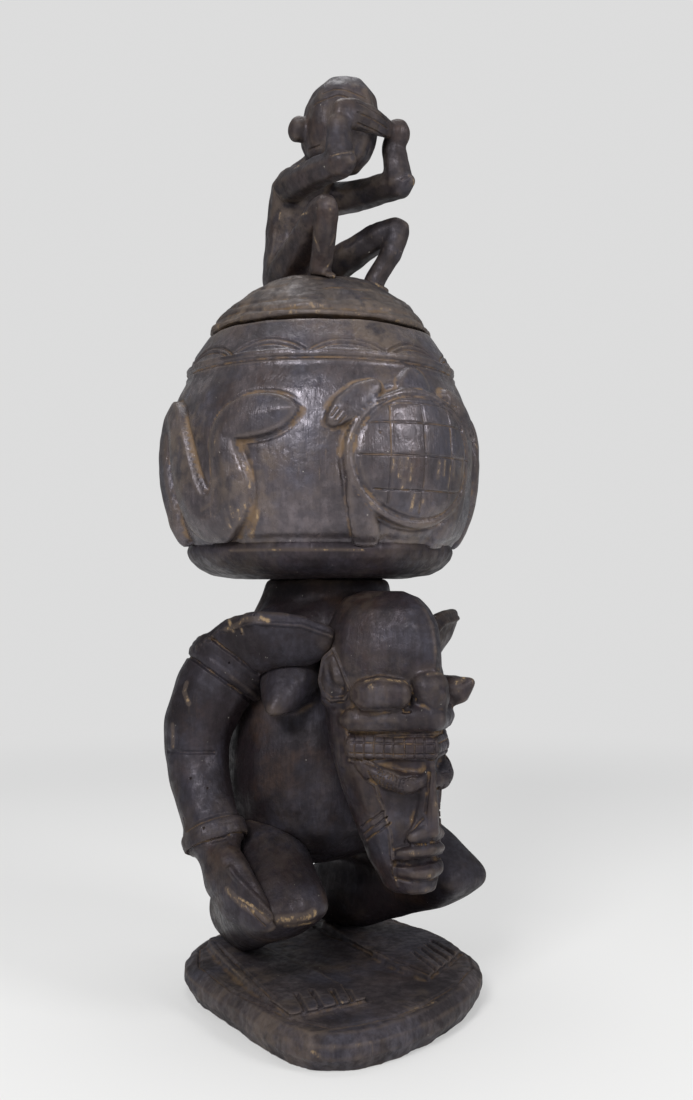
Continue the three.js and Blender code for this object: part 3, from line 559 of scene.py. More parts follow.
def aged_wood(
    name, body, sheen, rough, warm, cool_sheen, film, dust, chip, scuff, blade, facet_size=FACET_SIZE
):
    """Near-black handled wood: its body colour, sheen and roughness, and how much of each mark
    it has."""
    material = bpy.data.materials.new(name)
    material.use_nodes = True
    tree = material.node_tree
    shader = tree.nodes["Principled BSDF"]
    place = add(tree, "TexCoord").outputs["Object"]
    clouds = placed(tree, CLOUDS, place).outputs
    grain = placed(tree, GRAIN, place).outputs
    blades = placed(tree, BLADE, place)
    blades.inputs["Size"].default_value = facet_size
    scuffs = placed(tree, SCUFFS, place).outputs
    wear = placed(tree, WEAR, place)
    for note, socket in (("worn", "Worn"), ("dusty", "Dusty")):
        noted = add(tree, "Attribute", attribute_name=note)
        feed(tree, noted.outputs["Fac"], wear.inputs[socket])
    wear = wear.outputs
    colour = body
    for layer, mask, strength in (
        (NEAR_BLACK, clouds["Dark"], 0.68),
        (RED_BROWN, clouds["Warm"], warm),
        # Painted sheen: the cool clouds lay blue-grey in, partly a cooler tone of the wood.
        (BLUE_GREY_SHEEN, clouds["Cool_sheen"], cool_sheen),
        (NEAR_BLACK, grain["Streak"], 0.4),
        (NEAR_BLACK, clouds["Fine"], 0.4),
        (DUST_FILM, clouds["Film"], film),
        (RUBBED, wear["Rub"], 0.55),
        (OCHRE, wear["Dust"], dust),
        (RUBBED, scuffs["Scratch"], scuff),
        (BARE_WOOD, wear["Chip"], chip),
        (SPECK, scuffs["Speck"], 0.8),
    ):
        colour = laid_over(tree, colour, layer, mask, strength)
    feed(tree, colour, shader.inputs["Base Color"])
    matt = blend(tree, (clouds["Fine"], 0.2), (wear["Dust"], 0.35), (clouds["Dark"], 0.12))
    feed(tree, plus(tree, matt, rough), shader.inputs["Roughness"])
    cuts = (blades.outputs["Height"], blade), (grain["Height"], 0.09)
    height = blend(tree, *cuts, (clouds["Fine"], 0.16), (wear["Chip"], -0.25))
    bump = add(tree, "Bump", in_0=BUMP_STRENGTH, in_1=BUMP_HEIGHT * MM)
    feed(tree, height, bump.inputs["Height"])
    feed(tree, bump.outputs[0], shader.inputs["Normal"])
    shader.inputs["Specular IOR Level"].default_value = sheen
    shader.inputs["Specular Tint"].default_value = (*SHEEN_TINT, 1)
    return material


# Base with the feet

right_foot_clefts = [
    [(-67, -49), (-79, -77)],
    [(-56, -49), (-68, -78)],
    [(-45, -55), (-56.5, -79)],
    [(-34, -54), (-46, -80)],
]
left_foot_clefts = [
    [(42, -28), (31, -65)],
    [(52, -24), (41, -59)],
    [(61, -19), (52, -53)],
    [(70, -14), (62.5, -47)],
]
plateau_rim = [
    (-84, 42), (-91, -13), (-88, -70), (-77, -99), (-44, -107), (-12, -102), (28, -87), (62, -66),
    (80, -40), (88, 0), (88, 50), (68, 88), (20, 103), (-30, 96), (-66, 74), (-84, 42),
]
foot_edges = [
    [(-56, 70), (-64, 36), (-78.5, -25), (-88.5, -75), (-60, -77), (-33, -78.5)],
    [(28, 70), (25, 21), (21.5, -26), (21.5, -69), (53, -55), (76, -41)],
]
CLEFT_HEIGHT = 26
FOOT_EDGE_HEIGHT = 23
PLATEAU_HEIGHT = 22

base_worn = [
    ([(-91, -99, 22), (-64, -105, 22), (-38, -110, 22), (0, -101, 22)], 1.6, 1.0),
    ([(-21.5, -98, 22), (-20, -103, 22), (-14, -102, 22)], 2.4, 1.0),
    ([(-92, -103, 13), (-88, -105, 11)], 1.8, 1.2),
]


def carve_base():
    block = rough_out("carved_base", "base")
    resurface(block, 1.25)
    soften(block, 2)
    uneven(block, 18, 0.9)
    uneven(block, 7, 0.35)
    clefts = right_foot_clefts + left_foot_clefts
    strokes = [(level(line, CLEFT_HEIGHT), 2.3, 2.6) for line in clefts]
    strokes += [(level(line, FOOT_EDGE_HEIGHT), 2.2, 1.6) for line in foot_edges]
    carve(block, strokes + [(level(plateau_rim, PLATEAU_HEIGHT), 2.0, 1.2)])
    keep_within(block, "base")
    return block


# Limbs and trunk of the bearer


def hewn(name, node, rolls, coarse, fine, growth):
    """A mass of the figures, rounded in two steps, each a cell size and turns of smoothing."""
    block = rough_out(name, node)
    if rolls:
        add_wood(block, rolls)
    for cell, turns in (coarse, fine):
        resurface(block, cell)
        soften(block, turns)
    swell(block, growth)
    return block


def carve_limb(name, node, cell, turns, fine=0.95, rolls=(), into=()):
    """Carves a mass of the bearer. It may grow into the nodes it is one wood with."""
    block = hewn(name, node, rolls, (cell, turns), (fine, 4), 0.3 + 0.035 * turns)
    uneven(block, 16, 0.7)
    keep_within(block, node, *into)
    return block


# The nape widens towards the bowl and runs out into the shoulders

nape_wood = [
    ([(-18, 8, 262, 18, 22, 15), (-38, 6, 252, 18, 20, 14), (-58, 6, 244, 14, 18, 11)], 7),
    ([(-22, -18, 252, 15, 15, 15), (-44, -14, 244, 15, 14, 12)], 4),
]

# Upper arm, armlet, forearm with its bracelet, and hand. The rings are the places on the limb's
# axis where a band begins and ends

armlet_rings = [(-67.5, 20.5, 227.5), (-78.5, 25, 212)]
RIGHT_ARMLET_AXIS = (-8, 3, -11)
LEFT_ARMLET_AXIS = (8, 3, -11)
ARMLET_RADIUS = 27.5
right_bracelet_rings = [(-94.8, 7.5, 121), (-94.2, 1, 108)]
left_bracelet_rings = [(76, 20, 121), (73.5, 16, 108)]
RIGHT_BRACELET_AXIS = (0.5, -6.5, -10.5)
LEFT_BRACELET_AXIS = (-2.5, -4, -10)
BRACELET_RADIUS = 20.5
shoulder_wood = [
    ([(-76, 6, 235, 12, 14, 11), (-60, 0, 239, 14, 14, 11), (-46, -8, 240, 12, 14, 11)], 6),
]
shoulder_ridge = [(-96, 17, 234), (-90, 2, 246), (-84, -27, 252), (-59, -41, 250), (-42, -49, 243)]
elbow_crease = [(-118, 32, 168), (-114, 27, 168), (-107, 13, 168.5), (-92, 8, 168)]
hand_ridge = [
    (-104, -32, 103), (-103, -37.2, 99), (-98.9, -44.5, 92.1), (-94.1, -50.4, 84.9),
    (-88.1, -54.3, 76.5),
]
arm_strokes = [(elbow_crease, 2.0, 1.0), (shoulder_ridge, 2.6, -1.4)]
finger_lines = [
    [(-98.5, -48, 84), (-90, -56, 74)],
    [(-101.5, -44, 84.5), (-92.5, -54, 71.5)],
]
beetle_holes = [
    (-84.8, -26.4, 257.2), (-85.3, -0.4, 226.4), (-86, -15.1, 244.4), (-108.7, 9.8, 152.6),
    (-101.2, 1.3, 146.7), (-112.8, 10.5, 127.7), (-108.1, -6.9, 124),
]


def band_rings(rings, axis, radius):
    """The strokes of a raised band round a limb, and of the grooves along its edges."""
    first, last = (Vector(middle) for middle in rings)
    middles = [first.lerp(last, share) for share in (0.3, 0.5, 0.7)]
    raised = [ring_stroke(middle, axis, radius, 6.0, -1.5) for middle in middles]
    return raised, [ring_stroke(middle, axis, radius, 1.9, 1.7) for middle in rings]


def carve_arm(side, bands, strokes, rolls):
    node = f"bearer_{side}_arm"
    block = carve_limb(f"carved_{side}_arm", node, 2.2, 14, 0.9, rolls)
    carve(block, [ring for raised, _ in bands for ring in raised], finer=False)
    carve(block, strokes + [ring for _, grooves in bands for ring in grooves])
    keep_within(block, node)
    return block


def carve_right_arm():
    strokes = [(line, 1.1, 0.8) for line in finger_lines]
    strokes += [(hand_ridge, 3.2, -1.3), *arm_strokes, *[hole(place) for place in beetle_holes]]
    armlet = band_rings(armlet_rings, RIGHT_ARMLET_AXIS, ARMLET_RADIUS)
    bracelet = band_rings(right_bracelet_rings, RIGHT_BRACELET_AXIS, BRACELET_RADIUS)
    return carve_arm("right", (armlet, bracelet), strokes, shoulder_wood)


def carve_left_arm():
    strokes = [(other_side(line), *cut) for line, *cut in arm_strokes]
    armlet = band_rings(other_side(armlet_rings), LEFT_ARMLET_AXIS, ARMLET_RADIUS)
    bracelet = band_rings(left_bracelet_rings, LEFT_BRACELET_AXIS, BRACELET_RADIUS)
    rolls = [(other_side(stations), count) for stations, count in shoulder_wood]
    return carve_arm("left", (armlet, bracelet), strokes, rolls)


arm_worn = [
    (
        [(-106, -33, 91), (-105, -38, 88), (-101, -43, 83), (-97, -49, 80), (-91.6, -54, 75.7)],
        3.2, 1.0,
    ),
    ([(-102.8, -41, 87.3), (-98, -47, 83.3), (-93.6, -52.8, 79.2)], 1.6, 1.35),
    ([(-88.8, -4.6, 253), (-88.7, -9.3, 247)], 2.2, 1.3),
    ([(-87, -16, 252), (-85.7, -16.3, 245)], 1.8, 1.2),
    ([(-81, -30, 255), (-78, -31.6, 252.4)], 2.2, 1.3),
    ([(-95, -6, 248), (-88, -20, 254), (-78, -33, 253)], 3.0, 1.0),
    ([(-106.4, 19.4, 212), (-107.5, 19.9, 206.7), (-107.4, 14.8, 199.6)], 2.4, 1.15),
    ([(-113, 25, 185), (-113, 25.2, 171.7)], 2.6, 1.0),
]
knee_worn = [
    ([(-84.3, -55.4, 73.7), (-76.9, -56.9, 74), (-66.4, -58.1, 73.7), (-61, -59, 75.4)], 4.2, 1.2),
    ([(-77.9, -54.1, 70), (-70, -55, 69.5), (-59, -55.4, 69.5)], 2.6, 1.2),
    ([(-72, -62, 92), (-66, -63, 100)], 1.8, 0.95),
]

# Head: each line lies on the bearer's right and is cut on both sides

ear_rim = [
    (-39.3, -48.6, 235), (-42.5, -43.3, 228), (-42.6, -38.9, 216), (-42.5, -45, 207),
    (-42.5, -52, 203.3), (-38.7, -60.7, 204.4), (-36.8, -64.4, 209),
]
ear_front = [(-39.3, -48.6, 235), (-38.2, -57.5, 222), (-36.8, -64.4, 209)]
cheek_edge = [
    (-36.3, -61.6, 166.5), (-29.6, -73.3, 165), (-24.9, -76.4, 146.4), (-21.6, -79.1, 134.8),
    (-19.6, -81.4, 122), (-18.1, -83.6, 102.7), (-14.8, -83.3, 90),
]
cheek_scars = [
    [(-27.6, -62.4, 124.2), (-22.1, -78.7, 136)],
    [(-26.5, -64.1, 120), (-20.6, -79.8, 132.3)],
    [(-25.6, -65.9, 116.5), (-19.3, -81.2, 128.7)],
]
lid_line = [
    (-31, -73, 164), (-25, -83, 158.5), (-18, -89, 155), (-11, -92, 153.5), (-8, -93.5, 154.5),
]
lash_line = [
    (-29, -76, 160), (-24, -83, 151.5), (-17, -87, 147.2), (-11, -91, 146.4), (-8.5, -92.5, 148.5),
]
under_lash = [(-29, -76, 157.2), (-24, -83, 148.7), (-19, -86, 145), (-15.5, -88, 144.2)]
nose_side = [(-2.6, -99, 160), (-3.4, -98, 148), (-4, -97, 136)]
nose_wing = [(-12.5, -88, 117.5), (-13.2, -89, 122), (-10, -93, 127.5), (-5.5, -96, 132)]
mouth_line = [(-19, -84, 104.5), (-13, -90, 105), (0, -94, 105.6)]
under_lip = [(-18, -83, 95), (-10, -89, 94.5), (0, -92, 94)]
over_lip = [(-19, -84, 113), (-11, -90, 116), (0, -93, 117)]
under_brow = level([(-38, -64), (-29, -76.5), (-18.5, -89.5), (-9.5, -96.5), (0, -102.5)], 184)
band_path = [(-39, -62), (-29, -74.5), (-18.5, -87.5), (-9.5, -94.5), (0, -100.5)]
BAND_LOW, BAND_HIGH = 167.6, 182.4
BAND_COLUMNS = 9
LASHES = 15


def band_strokes():
    strokes = []
    for share in (0, 1 / 3, 2 / 3, 1):
        height = BAND_LOW + share * (BAND_HIGH - BAND_LOW)
        strokes.append((level(band_path, height), 1.0, 1.0))
    for x, y in between(band_path, BAND_COLUMNS):
        strokes.append(([(x, y, BAND_LOW), (x, y, BAND_HIGH)], 0.95, 1.0))
    return strokes


def lash_strokes():
    tops = between(lid_line, LASHES)
    ends = between(lash_line, LASHES)
    return [([tuple(top), tuple(end)], 0.8, 1.1) for top, end in zip(tops, ends)]


# Rolls of wood set on the face: each station is a place and the half lengths there

brow_roll = [
    (-37, -57.5, 191, 4, 5, 5), (-31, -65, 192.5, 7, 7.5, 8), (-22, -78, 193, 9, 10, 9),
    (-12, -89, 193.5, 10, 11, 9.5), (0, -96.5, 193.5, 10, 11.5, 9.5),
]
eyelid_roll = [
    (-33, -70, 164.5, 2.5, 2.5, 2.2), (-28, -77, 160, 5, 5, 4.6), (-21.5, -84, 155.7, 7, 7, 6.4),
    (-13, -90, 153.3, 7, 7, 6.4), (-7, -94, 154.5, 4.8, 4.8, 4.4), (-3.5, -96, 158, 2.4, 2.4, 2.2),
]
upper_lip = [(-16, -86, 111, 3, 4, 2.6), (-10, -91, 111.8, 5, 5.5, 3.6), (0, -95, 113, 6, 6, 4.2)]
lower_lip = [(-15, -86, 99, 3, 4, 2.6), (-9, -90.5, 98.4, 5, 5.5, 3.6), (0, -94, 98.2, 6, 6, 4.2)]
chin = [(-6, -86, 88.5, 6, 6, 4.6), (0, -88, 88.5, 7, 6, 4.6)]
nose_ridge = [
    (0, -96, 165, 3, 5, 3), (0, -97, 150, 3, 5, 3), (0, -98, 136, 3.6, 5, 3),
    (0, -98, 124, 4.6, 5.4, 4),
]
nose_wings = [(-4, -95, 123.5, 5, 5.5, 4.6), (-8.5, -92, 120.8, 6, 5.4, 4)]
side_lock = [
    (-38, -79, 208.5, 8, 9, 9), (-31, -85, 209.5, 11, 13, 10.5), (-21.5, -91, 209, 8, 10, 9.5),
]
middle_lock = [
    (-5, -95, 212, 8, 10.5, 10), (0, -96, 212.5, 11, 12, 11), (5, -95, 212, 8, 10.5, 10),
]
ear_field = [(-40.5, -47, 224), (-41, -52, 214), (-39.5, -58, 211)]
far_lock = [(37, -77, 209, 8, 9, 7.6), (30, -82, 209, 9, 10, 8)]
face_rolls = [(brow_roll, 11), (eyelid_roll, 14), (upper_lip, 7), (lower_lip, 7), (chin, 2)]
face_rolls += [(nose_ridge, 14), (nose_wings, 3)]
lock_rolls = [(side_lock, 4), (middle_lock, 3), (far_lock, 2)]
under_locks = [(-44, -76, 199.5), (-36, -87, 198.5), (-24, -94, 198.5), (-17, -97, 199)]
between_locks = [(-13.6, -94, 214), (-13.4, -97, 204)]
crown_line = [(-39, -84, 216), (-32, -92, 218), (-24, -96, 217.5), (-18, -96, 215)]


def carve_head():
    rolls = on_both(face_rolls) + lock_rolls
    block = hewn("carved_head", "bearer_head", rolls, (1.1, 4), (1.08, 1), 0.25)
    uneven(block, 14, 0.5)
    lines = [
        (ear_rim, 2.2, -1.6), (ear_front, 1.6, -1.0), (ear_field, 4.0, 1.4),
        (cheek_edge, 1.7, -1.1), (lid_line, 1.1, 0.7), (under_lash, 2.8, 2.4),
        (nose_side, 1.5, 1.2), (nose_wing, 1.4, 1.2), (mouth_line, 2.8, 3.4),
        (under_lip, 1.6, 1.2), (over_lip, 1.4, 1.0), (under_brow, 1.9, 2.4),
    ]
    lines += [(line, 1.1, 1.5) for line in cheek_scars]
    strokes = mirrored(lines + band_strokes() + lash_strokes())
    carve(block, strokes + [(under_locks, 2.2, 1.8), (between_locks, 2.0, 1.2)])
    keep_within(block, "bearer_head")
    return block


head_worn = mirrored([
    (crown_line, 2.6, 1.25),
    ([(-6, -102, 221), (0, -104, 222)], 2.2, 1.0),
    (cheek_edge, 1.8, 0.7),
    ([(-30, -77, 186), (-18, -90, 186), (-8, -98, 186)], 1.6, 0.8),
    ([(-1.5, -100, 160), (-1.5, -99, 128)], 1.4, 0.5),
    ([(-6, -89, 86), (0, -91, 86)], 2.5, 0.8),
])
head_dusty = mirrored([
    (level(band_path, 184.3), 1.8, 0.8),
    (under_lip, 1.6, 0.7),
    ([(x, y, z - 1.5) for x, y, z in lash_line], 2.4, 0.75),
    (cheek_scars[0], 1.2, 0.9),
    (cheek_scars[2], 1.2, 0.9),
    (nose_side, 1.5, 0.8),
    ([(-39, -60, 196), (-38, -62, 186), (-38, -62, 170)], 1.8, 0.8),
])


# Bowl: a spun wall with the reliefs pressed out of it. Places on it are an angle from the
# front in degrees and a height

bowl_wall = [
    (0.4, 0), (0.58, 0.004), (0.72, 0.018), (0.8, 0.045), (0.856, 0.08), (0.876, 0.112),
    (0.862, 0.134), (0.874, 0.15), (0.916, 0.17), (0.95, 0.216), (0.976, 0.29), (0.995, 0.38),
    (1.002, 0.475), (0.998, 0.56), (0.986, 0.63), (0.962, 0.7), (0.925, 0.76), (0.886, 0.805),
    (0.884, 0.82), (0.892, 0.832), (0.872, 0.86), (0.83, 0.91), (0.783, 0.955), (0.736, 1),
]
bowl_inside = [
    (0.651, 0.86), (0.717, 0.77), (0.8, 0.66), (0.858, 0.54), (0.868, 0.43), (0.792, 0.28),
    (0.64, 0.19), (0.396, 0.145),
]
BOWL_STEPS = 420
BOWL_ROW = 1.0
FOOT_STEPS = 240
FOOT_ROW = 1.6
FOOT_TOP = 301.5
RELIEF_LOW = 300.0
MOUTH_FLOOR = 434.6
OUTSIDE_SHARE = 0.7
WALL_MARGIN = 3


def spun(name, outline, steps):
    """A closed turned body: its outline, of radius and height, spun round the bowl's axis."""
    mesh = bpy.data.meshes.new(name)
    places = [(radius * MM, BOWL_AXIS * MM, height * MM) for radius, height in outline]
    mesh.from_pydata(places, [(i, i + 1) for i in range(len(places) - 1)], [])
    block = bpy.data.objects.new(name, mesh)
    bpy.context.scene.collection.objects.link(block)
    in_edit(block)
    bpy.ops.mesh.select_all(action="SELECT")
    middle = (0, BOWL_AXIS * MM, 0)
    turn = 2 * math.pi
    bpy.ops.mesh.spin(steps=steps, angle=turn, center=middle, axis=(0, 0, 1), use_auto_merge=True)
    weld(SPUN_WELD)
    bpy.ops.mesh.normals_make_consistent(inside=False)
    out_of_edit()
    return block


def ease(line, turns):
    """Rounds the corners of a finely stepped line, with its ends held."""
    for _ in range(turns):
        line[1:-1] = 0.25 * line[:-2] + 0.5 * line[1:-1] + 0.25 * line[2:]
    return line


def eased(points, step, turns=3):
    """Points a step apart along an outline, with its corners eased."""
    run = np.sum(np.linalg.norm(np.diff(np.array(points), axis=0), axis=1))
    line = between(points, max(2, round(float(run) / step)))
    return [tuple(place) for place in ease(line, turns)]


def bowl_places(shares):
    return [(r * BOWL_RADIUS, BOWL_FLOOR + h * BOWL_HEIGHT) for r, h in shares]


def wall_radius(height):
    """The radius of the bowl's outside at a height."""
    radii, heights = zip(*bowl_places(bowl_wall))
    return np.interp(height, heights, radii)


def foot_outline():
    wall = [place for place in bowl_places(bowl_wall) if place[1] <= FOOT_TOP + 1]
    inner = (wall[-1][0] - 2, FOOT_TOP + 3)
    return [(0, BOWL_FLOOR), *eased(wall, FOOT_ROW, 1), inner, (0, FOOT_TOP + 3)]


def bowl_outline():
    wall = [place for place in bowl_places(bowl_wall) if place[1] > FOOT_TOP]
    top = BOWL_FLOOR + BOWL_HEIGHT
    outline = [(0, FOOT_TOP - 1), (wall[0][0] - 1, FOOT_TOP - 1), *eased(wall, BOWL_ROW)]
    outline += [(MOUTH_RADIUS + 1, top), (MOUTH_RADIUS, top - 1), (MOUTH_RADIUS, MOUTH_FLOOR)]
    return outline + bowl_places(bowl_inside) + [(0, BOWL_FLOOR + 0.14 * BOWL_HEIGHT)]


def chart_of(block):
    """Each point of the wall as an angle from the front, a height, and whether it is outside."""
    x, y, z = (points_of(block) / MM).T
    y = y - BOWL_AXIS
    radius = np.hypot(x, y)
    angle = np.degrees(np.arctan2(x, -y))
    outside = (radius > OUTSIDE_SHARE * BOWL_RADIUS) & (z > RELIEF_LOW)
    outside &= radius > wall_radius(z) - WALL_MARGIN
    return angle, z, outside


def flat(angle, height, turn):
    """Angles and heights as lengths on the wall, about the front of a relief."""
    around = (np.asarray(angle, dtype=float) - turn + 180) % 360 - 180
    return np.stack([np.radians(around) * BOWL_RADIUS, np.asarray(height, dtype=float)], axis=-1)


def reach_of(places, line, widths):
    """How far each place lies from a line, in shares of the line's half width there."""
    best = np.full(len(places), 9.0)
    for start, end, wide, wider in zip(line, line[1:], widths, widths[1:]):
        run = end - start
        part = np.clip(((places - start) @ run) / (run @ run), 0, 1)
        off = np.linalg.norm(places - start - part[:, None] * run, axis=1)
        best = np.minimum(best, off / (wide + (wider - wide) * part))
    return best


def reach_of_curve(places, line, count):
    """The same for a curve, given by angles, heights and half widths."""
    points = [(math.radians(a) * BOWL_RADIUS, h, w) for a, h, w in line]
    drawn = ease(between(points, count), count // 14)
    return reach_of(places, drawn[:, :2], drawn[:, 2])


def step_down(values, edge, slope):
    """1 inside the edge and 0 outside, with a short slope."""
    part = np.clip((edge - values) / slope + 0.5, 0, 1)
    return part * part * (3 - 2 * part)


# Serpent: angle, share of the bowl's height and share of the half width

serpent_line = [
    (-43, 0.622, 0.2), (-46, 0.62, 0.6), (-51, 0.613, 0.95), (-57, 0.606, 1.08),
    (-63, 0.598, 0.98), (-68.5, 0.575, 0.82), (-70.5, 0.52, 0.78), (-68.5, 0.45, 0.84),
    (-67, 0.37, 1.08), (-67.5, 0.3, 1.22), (-71.5, 0.245, 1.2), (-78, 0.225, 1.15),
    (-85, 0.26, 1.15), (-89, 0.34, 1.15), (-92, 0.44, 1.04), (-95.5, 0.55, 0.92),
    (-99.5, 0.635, 0.8), (-105.5, 0.66, 0.76), (-111, 0.6, 0.86), (-112.5, 0.48, 0.98),
    (-109.5, 0.34, 1), (-105, 0.22, 0.78), (-103.5, 0.16, 0.3),
]
SERPENT_HALF_WIDTH = 13.5
SERPENT_LIFT = 6.4
SERPENT_KEEL = 0.42
SERPENT_TURNS = (0, 170)
OUTLINE_CUT = 1.5

# Tortoise: its limbs are angles, heights and half widths

TORTOISE_TURNS = (1, 180)
SHELL_MIDDLE = 355.5
SHELL_HALF_WIDTH = 53.0
SHELL_HALF_HEIGHT = 44.0
SHELL_LIFT = 7.8
SHELL_EDGE = 0.985
SHELL_SEAM = 0.868
SEAM_DEPTH = 0.34
SEAM_WIDTH = 0.018
RIM_SHARE = 0.56
paw_upper = [(-31.8, 376.5, 5.0), (-28, 383.5, 9.0), (-22, 391.5, 9.5), (-17, 397.5, 5.5)]
leg_lower = [(-25.5, 344, 3.0), (-24, 332, 6.5), (-21, 316, 9.5), (-18, 304.5, 10.0)]
neck_ridge = [(0, 396, 15.0), (1.5, 401, 13.5), (2.5, 405, 11.0)]
SCALLOP_COUNT = 11
SCALLOP_START = -7.5
BAND_HEIGHT = 418.4


def outline_cut(away, middle, width):
    """The groove that sets a relief off from the wall."""
    return -OUTLINE_CUT * np.exp(-(((away - middle) / width) ** 2))


def serpent_lift(angle, height, turn):
    """How far each point is pressed out into a serpent, and in by the groove round it."""
    places = flat(angle, height, turn)
    line = [(a, BOWL_FLOOR + h * BOWL_HEIGHT, w * SERPENT_HALF_WIDTH) for a, h, w in serpent_line]
    away = reach_of_curve(places, line, 110)
    keel = 1 - SERPENT_KEEL * np.clip(away, 0, 1) ** 1.1
    return SERPENT_LIFT * keel * step_down(away, 0.97, 0.16), outline_cut(away, 1.12, 0.1)


def limb_lift(places, line, lift):
    away = reach_of_curve(places, line, 30)
    return lift * (1 - 0.35 * np.clip(away, 0, 1) ** 2) * step_down(away, 0.95, 0.22)


def tortoise_lift(angle, height, turn):
    """The same for a tortoise: domed shell, rim, four limbs and the neck."""
    places = flat(angle, height, turn)
    across = places[:, 0] / SHELL_HALF_WIDTH
    up = (places[:, 1] - SHELL_MIDDLE) / SHELL_HALF_HEIGHT
    away = np.hypot(across, up)
    rim = RIM_SHARE * step_down(away, SHELL_EDGE, 0.035)
    dome = np.interp(away, [0.14, 0.44, 0.72, 0.85], [1.0, 0.93, 0.78, 0.58])
    shell = np.where(away < SHELL_SEAM, dome, rim)
    shell = shell - SEAM_DEPTH * np.exp(-(((away - SHELL_SEAM) / SEAM_WIDTH) ** 2))
    shell = shell * SHELL_LIFT
    beyond = away > SHELL_EDGE
    for side in (-1, 1):
        mirror = places * np.array([-side, 1])
        for line, lift in ((paw_upper, 5.6), (leg_lower, 4.0)):
            shell = np.maximum(shell, limb_lift(mirror, line, lift) * beyond)
    neck = limb_lift(places, neck_ridge, 3.6) * beyond
    return np.maximum(shell, neck), outline_cut(away, 1.03, 0.022)


def bowl_lifts(block):
    """How far each point of the bowl is pressed out, and whether it is on the outside."""
    angle, height, outside = chart_of(block)
    lifts = np.zeros(len(angle))
    cuts = np.zeros(len(angle))
    reliefs = [(serpent_lift, turn) for turn in SERPENT_TURNS]
    reliefs += [(tortoise_lift, turn) for turn in TORTOISE_TURNS]
    for relief, turn in reliefs:
        raised, groove = relief(angle, height, turn)
        lifts = np.maximum(lifts, raised)
        cuts = np.minimum(cuts, groove)
    lifts = lifts + np.where(lifts < 1, cuts, 0)
    return np.where(outside, lifts, 0), outside


def on_wall(angle, height, turn=0, lift=0.0):
    """The place of an angle and a height on the bowl, or on a relief that is lifted off it."""
    radius = wall_radius(height) + lift
    swing = math.radians(angle + turn)
    return (radius * math.sin(swing), BOWL_AXIS - radius * math.cos(swing), height)


def wall_stroke(places, turn, half_width, depth, lift=0.0, count=24):
    line = between(places, count)
    return ([on_wall(a, h, turn, lift) for a, h in line], half_width, depth)


WALL_HOLE = (-15.6, 369.2)

shell_grid = [
    [(-19.5, 376.3), (22, 377.8)],
    [(-24.3, 355.2), (26.2, 356.8)],
    [(-18.5, 333.4), (22.5, 334.6)],
    [(-12.8, 390.5), (-13.2, 324.5)],
    [(-0.4, 391), (-0.2, 319.5)],
    [(12, 390.5), (12.6, 322)],
    [(21.5, 381), (20.4, 333)],
    [(-16.5, 389.5), (19.5, 392)],
]
paw_claws = [
    [(-32.3, 379), (-30.4, 384)],
    [(-31, 376.4), (-29, 381.5)],
    [(-29.6, 373.6), (-27.6, 378.8)],
]


def tortoise_strokes(turn):
    strokes = [wall_stroke(line, turn, 1.0, 1.3, SHELL_LIFT) for line in shell_grid]
    for side in (1, -1):
        for line in paw_claws:
            strokes.append(wall_stroke([(side * a, h) for a, h in line], turn, 0.9, 1.3, 5, 6))
        flank = [(side * -29, 352), (side * -27.6, 330), (side * -23.6, 302)]
        strokes.append(wall_stroke(flank, turn, 1.3, 1.1))
    return strokes


def band_lines():
    """Two lines round the collar."""
    low, high = BAND_HEIGHT, BAND_HEIGHT + 4.2
    return [
        wall_stroke([(0, low), (360, low)], 0, 2.5, 3.0, count=120),
        wall_stroke([(0, high), (360, high)], 0, 1.6, -0.9, count=120),
    ]


def scallop_strokes():
    """A row of double scallops above the band."""
    strokes = []
    pitch = 360 / SCALLOP_COUNT
    for number in range(SCALLOP_COUNT):
        start = SCALLOP_START + number * pitch
        for share, foot, rise in ((1.0, 423.2, 8.8), (0.8, 423.4, 5.0)):
            arch = []
            for part in np.linspace(-1, 1, 15):
                angle = start + pitch / 2 * (1 + share * part)
                arch.append((angle, foot + rise * (1 - abs(part) ** 2.2)))
            strokes.append(wall_stroke(arch, 0, 1.7, 1.8, count=40))
    return strokes


def carve_bowl():
    block = spun("carved_bowl", bowl_outline(), BOWL_STEPS // (1))
    lifts, outside = bowl_lifts(block)
    press(block, lifts)
    shape_with(block, "SMOOTH", factor=0.4, iterations=2)
    uneven(block, 26, 0.9, ~outside)
    uneven(block, 8, 0.25, ~outside)
    carve(block, band_lines(), finer=False)
    strokes = scallop_strokes()
    for turn in TORTOISE_TURNS:
        strokes += tortoise_strokes(turn)
    strokes.append(hole(on_wall(*WALL_HOLE, lift=SHELL_LIFT)))
    carve(block, strokes)
    keep_within(block, "bowl")
    return block


def wall_marks(lines, half_width, strength, lift=4.0):
    return [(wall_stroke(line, 0, 0, 0, lift, 30)[0], half_width, strength) for line in lines]


serpent_keel = [
    [(-70, 371), (-71.3, 357)],
    [(-72.4, 342), (-73.8, 327), (-79, 323)],
    [(-92, 342), (-99, 355)],
]
serpent_edge = [[(-61, 360), (-59.5, 350), (-58.8, 338), (-57.5, 328), (-58, 318), (-62, 306)]]
serpent_flakes = [
    [(-60, 352), (-59, 342), (-59.3, 336)],
    [(-58, 327), (-57.6, 317)],
    [(-60.5, 309), (-63, 304)],
]
serpent_chips = [
    [(-66, 324), (-65.8, 318)],
    [(-63.5, 322), (-63.6, 315)],
    [(-68, 317), (-68, 312)],
    [(-61, 325), (-61, 320)],
]
shell_chips = [
    [(angle, high), (angle - 0.3, low)]
    for angle, high, low in (
        (-11.2, 354, 346), (-8.8, 353, 342), (-6.6, 354, 348), (-4.9, 350, 340), (-7.4, 340, 335),
        (-2.6, 331, 321), (0.8, 328, 322), (6.5, 353, 343), (9.4, 354, 345), (13, 351, 338),
        (15.2, 357, 346),
    )
]
shell_edge = [[(-26, 358), (-23.5, 374), (-19, 384), (-13, 391)]]
